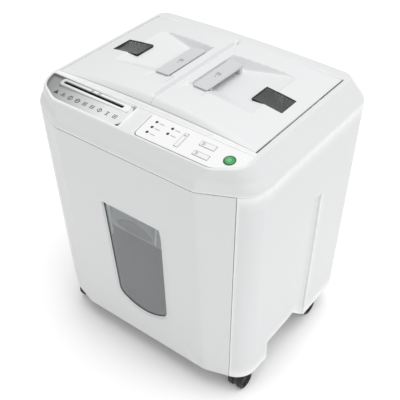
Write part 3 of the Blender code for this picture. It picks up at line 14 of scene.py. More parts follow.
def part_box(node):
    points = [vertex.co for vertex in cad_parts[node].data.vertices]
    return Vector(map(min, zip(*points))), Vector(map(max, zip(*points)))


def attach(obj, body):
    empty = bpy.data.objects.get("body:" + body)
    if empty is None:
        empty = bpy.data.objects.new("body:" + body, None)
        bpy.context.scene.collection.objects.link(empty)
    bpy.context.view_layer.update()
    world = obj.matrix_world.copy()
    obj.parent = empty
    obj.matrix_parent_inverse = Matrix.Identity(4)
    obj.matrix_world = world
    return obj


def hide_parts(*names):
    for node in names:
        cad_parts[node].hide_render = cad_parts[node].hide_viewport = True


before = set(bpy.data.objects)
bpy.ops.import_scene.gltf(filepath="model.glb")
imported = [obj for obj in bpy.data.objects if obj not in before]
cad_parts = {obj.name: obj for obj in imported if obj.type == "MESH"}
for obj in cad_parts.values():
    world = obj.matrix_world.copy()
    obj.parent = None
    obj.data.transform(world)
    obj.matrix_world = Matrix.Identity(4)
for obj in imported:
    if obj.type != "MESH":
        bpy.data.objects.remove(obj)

LOG = logging.getLogger("paper_shredder")
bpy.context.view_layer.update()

Flat = tuple[float, float]
Spot = tuple[float, float, float]


# ---------------------------------------------------------------- arithmetic


def ramp(value: float, low: float, high: float) -> float:
    """Share of the way from low to high, held between 0 and 1."""
    return min(max((value - low) / (high - low), 0.0), 1.0)


def ease(value: float, low: float, high: float) -> float:
    """Share of the way from low to high, eased at both ends."""
    share = ramp(value, low, high)
    return share * share * (3.0 - 2.0 * share)


def soft_min(first: float, second: float, radius: float) -> float:
    """The smaller of two numbers, rounded over where they cross.

    Args:
        first: one number.
        second: the other number.
        radius: how far apart they still round each other.

    Returns:
        The rounded minimum, never more than either number.
    """
    near = max(radius - abs(first - second), 0.0) / radius
    return min(first, second) - near * near * radius / 4.0


def spread(low: float, high: float, count: int) -> list[float]:
    """Evenly spaced numbers from low to high, both included."""
    return [low + (high - low) * i / (count - 1) for i in range(count)]


def arc_of(centre: Flat, radius: float, start: float, end: float, steps: int) -> list[Flat]:
    """Points on an arc.

    Args:
        centre: the arc's centre.
        radius: its radius.
        start: first angle in radians.
        end: last angle in radians.
        steps: number of segments.

    Returns:
        The points, both ends included.
    """
    return [
        (centre[0] + radius * math.cos(turn), centre[1] + radius * math.sin(turn))
        for turn in spread(start, end, steps + 1)
    ]


def resample(points: Sequence[Flat], count: int) -> list[Flat]:
    """The same line with a given number of evenly spaced points.

    Args:
        points: the line.
        count: how many points the result has.

    Returns:
        Points at equal steps along the line.
    """
    lengths = [0.0]
    for before, after in zip(points, points[1:]):
        lengths.append(lengths[-1] + math.dist(before, after))
    result, i = [], 0
    for want in spread(0.0, lengths[-1], count):
        while i < len(points) - 2 and lengths[i + 1] < want:
            i += 1
        share = (want - lengths[i]) / max(lengths[i + 1] - lengths[i], 1e-12)
        a, b = points[i], points[i + 1]
        result.append((a[0] + (b[0] - a[0]) * share, a[1] + (b[1] - a[1]) * share))
    return result


def rounded_box(low: Flat, high: Flat, radius: float, steps: int = 5) -> list[Flat]:
    """Outline of a rectangle with rounded corners, anticlockwise."""
    (x0, y0), (x1, y1) = low, high
    corners = [((x1 - radius, y0 + radius), -90), ((x1 - radius, y1 - radius), 0)]
    corners += [((x0 + radius, y1 - radius), 90), ((x0 + radius, y0 + radius), 180)]
    points: list[Flat] = []
    for centre, start in corners:
        points += arc_of(centre, radius, math.radians(start), math.radians(start + 90), steps)
    return points


def round_corners(points: Sequence[Flat], radii: Sequence[float], steps: int = 4) -> list[Flat]:
    """A closed outline with each corner rounded over.

    Args:
        points: the outline's corners in order.
        radii: how far each corner's rounding reaches along its edges; 0 leaves it sharp.
        steps: segments in each rounding.

    Returns:
        The rounded outline.
    """
    result: list[Flat] = []
    for i, corner in enumerate(points):
        reach = radii[i]
        if not reach:
            result.append(corner)
            continue
        here = Vector(corner)
        before, after = Vector(points[i - 1]), Vector(points[(i + 1) % len(points)])
        start = here + (before - here).normalized() * reach
        end = here + (after - here).normalized() * reach
        for share in spread(0.0, 1.0, steps + 1):
            point = start * (1 - share) ** 2 + here * 2 * share * (1 - share) + end * share**2
            result.append((point.x, point.y))
    return result


# ---------------------------------------------------------------- mesh making


def mesh_of(bm: bmesh.types.BMesh, name: str) -> bpy.types.Mesh:
    """A mesh from a working mesh, with its faces turned outwards."""
    bmesh.ops.remove_doubles(bm, verts=bm.verts, dist=1e-6)
    bmesh.ops.recalc_face_normals(bm, faces=bm.faces)
    mesh = bpy.data.meshes.new(name)
    bm.to_mesh(mesh)
    bm.free()
    return mesh


def loft(rings: Sequence[Sequence[Spot]], name: str = "loft") -> bpy.types.Mesh:
    """Closed skin over rings of points, capped at both ends."""
    bm = bmesh.new()
    loops = [[bm.verts.new(point) for point in ring] for ring in rings]
    for lower, upper in zip(loops, loops[1:]):
        for i, vert in enumerate(lower):
            j = (i + 1) % len(lower)
            bm.faces.new((vert, lower[j], upper[j], upper[i]))
    bm.faces.new(list(reversed(loops[0])))
    bm.faces.new(loops[-1])
    return mesh_of(bm, name)


def sheet_over(rows: Sequence[Sequence[Spot]], around: bool = False, name: str = "skin") -> bpy.types.Mesh:
    """An open surface over rows of points.

    Args:
        rows: rows of equally many points.
        around: joins each row's end to its start.
        name: the mesh's name.

    Returns:
        The open surface, facing the way its rows and columns run.
    """
    bm = bmesh.new()
    grid = [[bm.verts.new(point) for point in row] for row in rows]
    count = len(rows[0])
    for j in range(len(rows) - 1):
        for i in range(count if around else count - 1):
            k = (i + 1) % count
            corners = [grid[j][i], grid[j][k], grid[j + 1][k], grid[j + 1][i]]
            spots = {tuple(round(c, 7) for c in vert.co) for vert in corners}
            if len(spots) > 2:
                bm.faces.new(corners)
    bmesh.ops.remove_doubles(bm, verts=bm.verts, dist=1e-6)
    loose = [vert for vert in bm.verts if not vert.link_faces]
    bmesh.ops.delete(bm, geom=loose, context="VERTS")
    mesh = bpy.data.meshes.new(name)
    bm.to_mesh(mesh)
    bm.free()
    return mesh


def shell_between(
    outer: Sequence[Sequence[Spot]], inner: Sequence[Sequence[Spot]], name: str
) -> bpy.types.Mesh:
    """Closed wall between two ring-shaped surfaces that share their layout of rows and columns."""
    bm = bmesh.new()
    layers = [[[bm.verts.new(point) for point in row] for row in rows] for rows in (outer, inner)]
    count = len(outer[0])

    for i in range(count):
        k = (i + 1) % count
        for j in range(len(outer) - 1):
            for rows in layers:
                bm.faces.new([rows[j][i], rows[j][k], rows[j + 1][k], rows[j + 1][i]])
        for j in (0, len(outer) - 1):
            bm.faces.new([layers[0][j][i], layers[1][j][i], layers[1][j][k], layers[0][j][k]])
    bmesh.ops.remove_doubles(bm, verts=bm.verts, dist=1e-5)
    bmesh.ops.dissolve_degenerate(bm, edges=bm.edges, dist=1e-6)
    return mesh_of(bm, name)


def height_solid(xs: Sequence[float], ys: Sequence[float], top: Callable[[float, float], float],
                 bottom: Callable[[float, float], float], name: str = "field") -> bpy.types.Mesh:
    """Closed solid between two height fields over a grid."""
    bm = bmesh.new()
    upper = [[bm.verts.new((x, y, top(x, y))) for x in xs] for y in ys]
    lower = [[bm.verts.new((x, y, bottom(x, y))) for x in xs] for y in ys]
    last_x, last_y = len(xs) - 1, len(ys) - 1
    for j in range(last_y):
        for i in range(last_x):
            bm.faces.new((upper[j][i], upper[j][i + 1], upper[j + 1][i + 1], upper[j + 1][i]))
            bm.faces.new((lower[j][i], lower[j + 1][i], lower[j + 1][i + 1], lower[j][i + 1]))
    for i in range(last_x):
        bm.faces.new((lower[0][i], lower[0][i + 1], upper[0][i + 1], upper[0][i]))
        bm.faces.new((lower[last_y][i], upper[last_y][i], upper[last_y][i + 1], lower[last_y][i + 1]))
    for j in range(last_y):
        bm.faces.new((lower[j][0], upper[j][0], upper[j + 1][0], lower[j + 1][0]))
        bm.faces.new((lower[j][last_x], lower[j + 1][last_x], upper[j + 1][last_x], upper[j][last_x]))
    return mesh_of(bm, name)


def prism(outline: Sequence[Flat], low: float, high: float, place: Matrix | None = None) -> bpy.types.Mesh:
    """A straight prism over an outline.

    Args:
        outline: its plan, in the place's X and Y.
        low: its lowest height.
        high: its highest height.
        place: where its plan stands; the frame itself if left out.

    Returns:
        The closed prism.
    """
    mesh = loft([[(x, y, z) for x, y in outline] for z in (low, high)], "prism")
    if place:
        mesh.transform(place)
    return mesh


def pillow(outline: Sequence[Flat], low: float, high: float, edge: float, place: Matrix | None = None,
           steps: int = 3) -> bpy.types.Mesh:
    """A prism whose upper edge is rounded over towards its middle.

    Args:
        outline: its plan.
        low: its lowest height.
        high: its highest height.
        edge: radius of the rounding.
        place: where its plan stands.
        steps: segments of the rounding.

    Returns:
        The closed solid.
    """
    middle = Vector((sum(x for x, _ in outline) / len(outline), sum(y for _, y in outline) / len(outline)))
    rings = [[(x, y, low) for x, y in outline]]
    for i in range(steps + 1):
        turn = math.pi / 2 * i / steps
        inset, z = edge * (1 - math.cos(turn)), high - edge * (1 - math.sin(turn))
        ring = []
        for k, (x, y) in enumerate(outline):
            before, after = outline[k - 1], outline[(k + 1) % len(outline)]
            along = (Vector(after) - Vector(before)).normalized()
            inward = Vector((-along.y, along.x))
            if inward.dot(middle - Vector((x, y))) < 0:
                inward = -inward
            ring.append((x + inward.x * inset, y + inward.y * inset, z))
        rings.append(ring)
    mesh = loft(rings, "pillow")
    if place:
        mesh.transform(place)
    return mesh


def revolve(profile: Sequence[Flat], place: Matrix, steps: int = 48) -> bpy.types.Mesh:
    """A turned solid.

    Args:
        profile: (radius, height) points from one end of the axis to the other, or a closed loop off the axis.
        place: where its axis (Z) stands.
        steps: segments around.

    Returns:
        The closed solid of revolution.
    """
    bm = bmesh.new()
    ringed = profile[0][0] > 0
    rows: list[list[bmesh.types.BMVert]] = []
    for radius, height in profile:
        turns = [2 * math.pi * i / steps for i in range(steps)]
        rows.append([bm.verts.new((radius * math.cos(t), radius * math.sin(t), height)) for t in turns])
    pairs = list(zip(rows, rows[1:])) + ([(rows[-1], rows[0])] if ringed else [])
    for lower, upper in pairs:
        for i in range(steps):
            j = (i + 1) % steps
            bm.faces.new((lower[i], lower[j], upper[j], upper[i]))
    bmesh.ops.remove_doubles(bm, verts=bm.verts, dist=1e-7)
    bmesh.ops.dissolve_degenerate(bm, edges=bm.edges, dist=1e-8)
    mesh = mesh_of(bm, "turned")
    mesh.transform(place)
    return mesh


def box_of(low: Spot, high: Spot) -> bpy.types.Mesh:
    """A box between two corners."""
    (x0, y0, z0), (x1, y1, z1) = low, high
    return prism([(x0, y0), (x1, y0), (x1, y1), (x0, y1)], z0, z1)


def mirrored(mesh: bpy.types.Mesh, side: "Side") -> bpy.types.Mesh:
    """The mesh itself for the right side, or its mirror image for the left."""
    if side is Side.LEFT:
        mesh.transform(Matrix.Scale(-1, 4, (1, 0, 0)))
        mesh.flip_normals()
    return mesh


def facing(point: Spot, direction: Spot) -> Matrix:
    """A place whose Z axis points along a direction."""
    turn = Vector((0, 0, 1)).rotation_difference(Vector(direction)).to_matrix().to_4x4()
    return Matrix.Translation(point) @ turn


class Side(Enum):
    """The shredder's left or right, seen from its front."""

    LEFT = -1
    RIGHT = 1

    @property
    def label(self) -> str:
        """The side's name in node names."""
        return self.name.lower()


class Workpiece:
    """A mesh on the bench, cut, joined and softened step by step until it is finished."""

    def __init__(self, name: str, mesh: bpy.types.Mesh) -> None:
        """Puts a mesh on the bench under a piece's name."""
        self.name = name
        self.obj = bpy.data.objects.new(name, mesh)
        bpy.context.scene.collection.objects.link(self.obj)

    def _apply(self) -> None:
        """Turns the live modifiers into plain mesh."""
        graph = bpy.context.evaluated_depsgraph_get()
        made = bpy.data.meshes.new_from_object(self.obj.evaluated_get(graph), depsgraph=graph)
        self.obj.modifiers.clear()
        old, self.obj.data = self.obj.data, made
        bpy.data.meshes.remove(old)

    def _boolean(self, tools: Sequence[bpy.types.Mesh], operation: str) -> "Workpiece":
        """Cuts or joins with each tool in turn."""
        for tool in tools:
            helper = bpy.data.objects.new("tool", tool)
            bpy.context.scene.collection.objects.link(helper)
            step = self.obj.modifiers.new("step", "BOOLEAN")
            step.operation = operation
            step.solver = "EXACT"
            step.object = helper
            self._apply()
            bpy.data.objects.remove(helper)
            bpy.data.meshes.remove(tool)
        return self

    def cut(self, *tools: bpy.types.Mesh) -> "Workpiece":
        """Takes tools away from the piece."""
        return self._boolean(tools, "DIFFERENCE")

    def join(self, *tools: bpy.types.Mesh) -> "Workpiece":
        """Makes the piece one body with others."""
        return self._boolean(tools, "UNION")

    def wall(self, thickness: float) -> "Workpiece":
        """Gives an open surface a wall behind it."""
        step = self.obj.modifiers.new("wall", "SOLIDIFY")
        step.thickness = thickness
        step.offset = -1.0
        step.use_even_offset = True
        self._apply()
        return self

    def soften(self, width: float, segments: int = 2, degrees: float = 32.0) -> "Workpiece":
        """Rounds the edges that are sharper than an angle."""
        step = self.obj.modifiers.new("soften", "BEVEL")
        step.width = width
        step.segments = segments
        step.limit_method = "ANGLE"
        step.angle_limit = math.radians(degrees)
        step.use_clamp_overlap = True
        step.miter_outer = "MITER_ARC"
        self._apply()
        return self

    def finish(self, dress: bpy.types.Material, body: str, slot: str, replaces: Sequence[str] = (),
               sharp: float = 42.0) -> bpy.types.Object:
        """Dresses the piece and puts it on its body.

        Args:
            dress: the piece's material.
            body: the moving body it rides on.
            slot: the record's material slot it stands for; not used.
            replaces: the frame's nodes it stands for.
            sharp: edges sharper than this many degrees stay crisp.

        Returns:
            The finished piece.
        """
        mesh = self.obj.data
        mesh.shade_smooth()
        mesh.set_sharp_from_angle(angle=math.radians(sharp))
        step = self.obj.modifiers.new("normals", "WEIGHTED_NORMAL")
        step.mode = "FACE_AREA"
        step.keep_sharp = True
        self._apply()
        self.obj.data.materials.clear()
        self.obj.data.materials.append(dress)
        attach(self.obj, body)
        if replaces:
            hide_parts(*replaces)
        LOG.info("%s: %d faces on %s", self.name, len(self.obj.data.polygons), body)
        return self.obj


# ---------------------------------------------------------------- finishes


class NodeKit:
    """Short calls for building shader trees."""

    def __init__(self, tree: bpy.types.NodeTree) -> None:
        """Works on one tree."""
        self.tree = tree

    def add(self, kind: str, **settings: object) -> bpy.types.Node:
        """A new node with its settings and, by socket name, its input values."""
        node = self.tree.nodes.new(kind)
        for name, value in settings.items():
            if hasattr(node, name):
                setattr(node, name, value)
            else:
                node.inputs[name.replace("_", " ")].default_value = value
        return node

    def link(self, source: bpy.types.NodeSocket, target: bpy.types.NodeSocket) -> None:
        """Links two sockets."""
        self.tree.links.new(source, target)

    def maths(self, operation: str, first: object, second: object) -> bpy.types.NodeSocket:
        """A Math node's result for two sockets or numbers."""
        node = self.tree.nodes.new("ShaderNodeMath")
        node.operation = operation
        for socket, value in zip(node.inputs, (first, second)):
            if isinstance(value, bpy.types.NodeSocket):
                self.link(value, socket)
            else:
                socket.default_value = value
        return node.outputs[0]


def new_group(name: str, inputs: Sequence[tuple[str, float]], outputs: Sequence[str]) -> bpy.types.NodeTree:
    """An empty shader node group with number sockets.

    Args:
        name: the group's name.
        inputs: (name, default) of each input.
        outputs: the outputs' names.

    Returns:
        The group's tree.
    """
    tree = bpy.data.node_groups.new(name, "ShaderNodeTree")
    for label, default in inputs:
        socket = tree.interface.new_socket(name=label, in_out="INPUT", socket_type="NodeSocketFloat")
        socket.default_value = default
    for label in outputs:
        tree.interface.new_socket(name=label, in_out="OUTPUT", socket_type="NodeSocketFloat")
    return tree


class SurfaceEffects:
    """The shared shader groups: moulded grain, edge wear, handling marks and brushed lines."""

    def __init__(self) -> None:
        """Builds each group once."""
        self.grain = self._grain()
        self.wear = self._wear()
        self.marks = self._marks()
        self.brush = self._brush()

    def _start(self, tree: bpy.types.NodeTree) -> tuple[NodeKit, *tuple[bpy.types.Node, ...]]:
        """A group's kit, its two ends and its coordinates."""
        kit = NodeKit(tree)
        return kit, kit.add("NodeGroupInput"), kit.add("NodeGroupOutput"), kit.add("ShaderNodeTexCoord")

    def _grain(self) -> bpy.types.NodeTree:
        """Fine leather-like grain of a moulded surface."""
        tree = new_group("moulded_grain", [("Size", 900.0), ("Depth", 1.0)], ["Height"])
        kit, source, sink, place = self._start(tree)
        cells = kit.add("ShaderNodeTexVoronoi", feature="SMOOTH_F1")
        noise = kit.add("ShaderNodeTexNoise", Detail=2.0)
        for node in (cells, noise):
            kit.link(place.outputs["Object"], node.inputs["Vector"])
            kit.link(source.outputs["Size"], node.inputs["Scale"])
        mixed = kit.maths("ADD", cells.outputs["Distance"], noise.outputs["Fac"])
        kit.link(kit.maths("MULTIPLY", mixed, source.outputs["Depth"]), sink.inputs["Height"])
        return tree

    def _wear(self) -> bpy.types.NodeTree:
        """Mask of worn and polished edges, broken up by noise."""
        tree = new_group("edge_wear", [("Reach", 0.5), ("Breakup", 60.0)], ["Mask"])
        kit, source, sink, place = self._start(tree)
        shape = kit.add("ShaderNodeNewGeometry")
        noise = kit.add("ShaderNodeTexNoise", Detail=3.0)
        kit.link(place.outputs["Object"], noise.inputs["Vector"])
        kit.link(source.outputs["Breakup"], noise.inputs["Scale"])
        raised = kit.maths("SUBTRACT", shape.outputs["Pointiness"], 0.52)
        edge = kit.maths("MULTIPLY", raised, 12.0)
        broken = kit.maths("MULTIPLY", edge, noise.outputs["Fac"])
        scaled = kit.maths("MULTIPLY", broken, source.outputs["Reach"])
        held = kit.add("ShaderNodeClamp")
        kit.link(scaled, held.inputs["Value"])
        kit.link(held.outputs[0], sink.inputs["Mask"])
        return tree

    def _marks(self) -> bpy.types.NodeTree:
        """Slow cloudy variation, as of handling and cleaning, about zero."""
        tree = new_group("handling_marks", [("Size", 9.0), ("Strength", 0.05)], ["Shift"])
        kit, source, sink, place = self._start(tree)
        noise = kit.add("ShaderNodeTexNoise", Detail=4.0, Roughness=0.6)
        kit.link(place.outputs["Object"], noise.inputs["Vector"])
        kit.link(source.outputs["Size"], noise.inputs["Scale"])
        centred = kit.maths("SUBTRACT", noise.outputs["Fac"], 0.5)
        kit.link(kit.maths("MULTIPLY", centred, source.outputs["Strength"]), sink.inputs["Shift"])
        return tree

    def _brush(self) -> bpy.types.NodeTree:
        """Fine lines of a ground or turned metal surface, across the X axis."""
        tree = new_group("brushed_lines", [("Size", 40.0), ("Depth", 1.0)], ["Height"])
        kit, source, sink, place = self._start(tree)
        stretch = kit.add("ShaderNodeMapping")
        stretch.inputs["Scale"].default_value = (60.0, 1.5, 1.5)
        noise = kit.add("ShaderNodeTexNoise", Detail=3.0)
        kit.link(place.outputs["Object"], stretch.inputs["Vector"])
        kit.link(stretch.outputs["Vector"], noise.inputs["Vector"])
        kit.link(source.outputs["Size"], noise.inputs["Scale"])
        kit.link(kit.maths("MULTIPLY", noise.outputs["Fac"], source.outputs["Depth"]), sink.inputs["Height"])
        return tree


def new_finish(name: str) -> tuple[bpy.types.Material, NodeKit, bpy.types.Node]:
    """A new material with its kit and its shader."""
    made = bpy.data.materials.new(name)
    made.use_nodes = True
    return made, NodeKit(made.node_tree), made.node_tree.nodes["Principled BSDF"]


@dataclass(frozen=True)
class Plastic:
    """A moulded plastic: its colour, gloss, grain and how its edges polish.

    A plastic with painted shade is darker towards its left end: x of the dark end, x of the clear end, share
    of colour left.
    """

    name: str
    colour: Spot
    roughness: float = 0.4
    grain_size: float = 1100.0
    grain_depth: float = 0.12
    grain_height: float = 0.00025
    variation: float = 0.03
    edge_lift: float = 0.25
    metallic: float = 0.0
    coat: float = 0.0
    brushed: bool = False
    shaded: tuple[float, float, float] | None = None

    def make(self, effects: SurfaceEffects) -> bpy.types.Material:
        """Builds the material.

        Args:
            effects: the shared shader groups.

        Returns:
            The finished material.
        """
        made, kit, shader = new_finish(self.name)
        shader.inputs["Metallic"].default_value = self.metallic
        shader.inputs["Coat Weight"].default_value = self.coat
        shader.inputs["Coat Roughness"].default_value = 0.12
        marks = kit.add("ShaderNodeGroup", node_tree=effects.marks)
        marks.inputs["Strength"].default_value = self.variation
        wear = kit.add("ShaderNodeGroup", node_tree=effects.wear)
        texture = effects.brush if self.brushed else effects.grain
        grain = kit.add("ShaderNodeGroup", node_tree=texture)
        if not self.brushed:
            grain.inputs["Size"].default_value = self.grain_size
        grain.inputs["Depth"].default_value = self.grain_depth

        def shade(amount: float) -> tuple[float, float, float, float]:
            """The colour, made darker or lighter."""
            return (*(min(max(c * amount, 0.0), 1.0) for c in self.colour), 1.0)

        tone = kit.add("ShaderNodeMix", data_type="RGBA")
        tone.inputs["A"].default_value = shade(1 - 2 * self.variation)
        tone.inputs["B"].default_value = shade(1 + 2 * self.variation)
        shift = kit.maths("MULTIPLY", marks.outputs["Shift"], 12.0)
        kit.link(kit.maths("ADD", shift, 0.5), tone.inputs["Factor"])
        worn = kit.add("ShaderNodeMix", data_type="RGBA")
        lighter = tuple(c + (1 - c) * self.edge_lift for c in self.colour)
        worn.inputs["B"].default_value = (*lighter, 1.0)
        kit.link(wear.outputs["Mask"], worn.inputs["Factor"])
        kit.link(tone.outputs["Result"], worn.inputs["A"])
        colour = worn.outputs["Result"]
        # Painted shade: the colour is mixed darker towards the left end, where shade falls.
        if self.shaded:
            place, axes = kit.add("ShaderNodeTexCoord"), kit.add("ShaderNodeSeparateXYZ")
            kit.link(place.outputs["Object"], axes.inputs["Vector"])
            along = kit.add("ShaderNodeMapRange")
            dark, clear = self.shaded[:2]
            for label, value in (("From Min", dark), ("From Max", clear), ("To Min", 0.0), ("To Max", 1.0)):
                along.inputs[label].default_value = value
            kit.link(axes.outputs["X"], along.inputs["Value"])
            tinted = kit.add("ShaderNodeMix", data_type="RGBA")
            tinted.inputs["A"].default_value = shade(self.shaded[2])
            kit.link(along.outputs["Result"], tinted.inputs["Factor"])
            kit.link(colour, tinted.inputs["B"])
            colour = tinted.outputs["Result"]
        kit.link(colour, shader.inputs["Base Color"])
        polish = kit.maths("MULTIPLY", wear.outputs["Mask"], -0.12)
        rough = kit.maths("ADD", kit.maths("ADD", marks.outputs["Shift"], self.roughness), polish)
        kit.link(rough, shader.inputs["Roughness"])
        bump = kit.add("ShaderNodeBump", Strength=0.5, Distance=self.grain_height)
        kit.link(grain.outputs["Height"], bump.inputs["Height"])
        kit.link(bump.outputs["Normal"], shader.inputs["Normal"])
        return made


@dataclass(frozen=True)
class ClearPlastic:
    """A tinted see-through plastic with faint moulding waves and fingerprints."""

    name: str
    colour: Spot
    roughness: float = 0.08
    transmission: float = 0.8
    index: float = 1.49

    def make(self, effects: SurfaceEffects) -> bpy.types.Material:
        """Builds the material.

        Args:
            effects: the shared shader groups.

        Returns:
            The finished material.
        """
        made, kit, shader = new_finish(self.name)
        shader.inputs["Base Color"].default_value = (*self.colour, 1.0)
        shader.inputs["IOR"].default_value = self.index
        shader.inputs["Transmission Weight"].default_value = self.transmission
        marks = kit.add("ShaderNodeGroup", node_tree=effects.marks)
        marks.inputs["Size"].default_value = 35.0
        marks.inputs["Strength"].default_value = 0.10
        kit.link(kit.maths("ADD", marks.outputs["Shift"], self.roughness), shader.inputs["Roughness"])
        grain = kit.add("ShaderNodeGroup", node_tree=effects.marks)
        grain.inputs["Size"].default_value = 14.0
        grain.inputs["Strength"].default_value = 1.0
        bump = kit.add("ShaderNodeBump", Strength=0.12, Distance=0.002)
        kit.link(grain.outputs["Shift"], bump.inputs["Height"])
        kit.link(bump.outputs["Normal"], shader.inputs["Normal"])
        return made


class Palette:
    """Every finish of the shredder, by the record's slot where it has one."""

    def __init__(self) -> None:
        """Builds all the materials."""
        effects = SurfaceEffects()
        grey = (0.60, 0.61, 0.62)
        finishes = [
            Plastic("housing_white", (0.725, 0.73, 0.735), 0.42, edge_lift=0.5, variation=0.012),
            Plastic("lid_white", (0.755, 0.76, 0.765), 0.38, edge_lift=0.5, variation=0.012),
            Plastic("panel_white", (0.84, 0.84, 0.84), 0.30, grain_depth=0.03, variation=0.008, coat=0.2),
            # The well's floor is the housing's white, with painted shade that darkens it towards its sunken
            # left end.
            Plastic("well_grey", (0.725, 0.73, 0.735), 0.45, variation=0.015, shaded=(-0.215, -0.070, 0.40)),
            # Painted shade darkens the bezel towards its left end, beside the well's deepest part.
            Plastic("slot_bezel", (0.80, 0.805, 0.81), 0.40, variation=0.015, shaded=(-0.215, -0.120, 0.72)),
            Plastic("handle_grey", grey, 0.40, variation=0.02),
            Plastic("key_grey", (0.80, 0.805, 0.81), 0.40, grain_depth=0.06, variation=0.015),
            Plastic("power_green", (0.045, 0.36, 0.10), 0.28, grain_depth=0.03, coat=0.4, edge_lift=0.35),
            Plastic("ring_green", (0.012, 0.12, 0.04), 0.35, grain_depth=0.03, coat=0.2),
            Plastic("black_plastic", (0.018, 0.018, 0.02), 0.42, edge_lift=0.10, variation=0.03),
            Plastic("tread_black", (0.012, 0.012, 0.013), 0.60, grain_size=500.0, grain_depth=0.3,
                    edge_lift=0.08),
            Plastic("tray_grey", (0.30, 0.31, 0.32), 0.48, grain_depth=0.2, edge_lift=0.2),
            Plastic("tub_grey", (0.54, 0.565, 0.575), 0.50, grain_depth=0.2, edge_lift=0.2),
            Plastic("mark_green", (0.20, 0.62, 0.28), 0.30, grain_depth=0.03, edge_lift=0.2),
            Plastic("gear_nylon", (0.72, 0.70, 0.65), 0.45, grain_depth=0.05, edge_lift=0.3, variation=0.03),
            Plastic("feed_rubber", (0.035, 0.035, 0.036), 0.85, grain_size=420.0, grain_depth=0.6,
                    edge_lift=0.05),
            Plastic("board_green", (0.015, 0.13, 0.05), 0.38, grain_size=240.0, grain_depth=0.3, coat=0.3),
            Plastic("switch_amber", (0.50, 0.30, 0.07), 0.42, grain_depth=0.1),
            Plastic("print_ink", (0.045, 0.045, 0.05), 0.55, grain_depth=0.05, edge_lift=0.0),
            Plastic("faint_ink", (0.30, 0.30, 0.32), 0.55, grain_depth=0.05, edge_lift=0.0),
            Plastic("light_dark", (0.014, 0.006, 0.008), 0.15, grain_depth=0.0, coat=0.6, edge_lift=0.0),
            Plastic("steel", (0.56, 0.57, 0.59), 0.30, metallic=1.0, brushed=True, grain_depth=0.5),
            Plastic("motor_steel", (0.20, 0.21, 0.22), 0.36, metallic=0.8, brushed=True, grain_depth=0.5),
        ]
        clears = [
            ClearPlastic("smoked_clear", (0.60, 0.615, 0.62), 0.04, transmission=0.93),
            ClearPlastic("bin_window_clear", (0.80, 0.83, 0.85), 0.06, transmission=0.93),
        ]
        self._made = {finish.name: finish.make(effects) for finish in [*finishes, *clears]}

    def __getitem__(self, name: str) -> bpy.types.Material:
        """The material of that name."""
        return self._made[name]


# ---------------------------------------------------------------- the housing's form


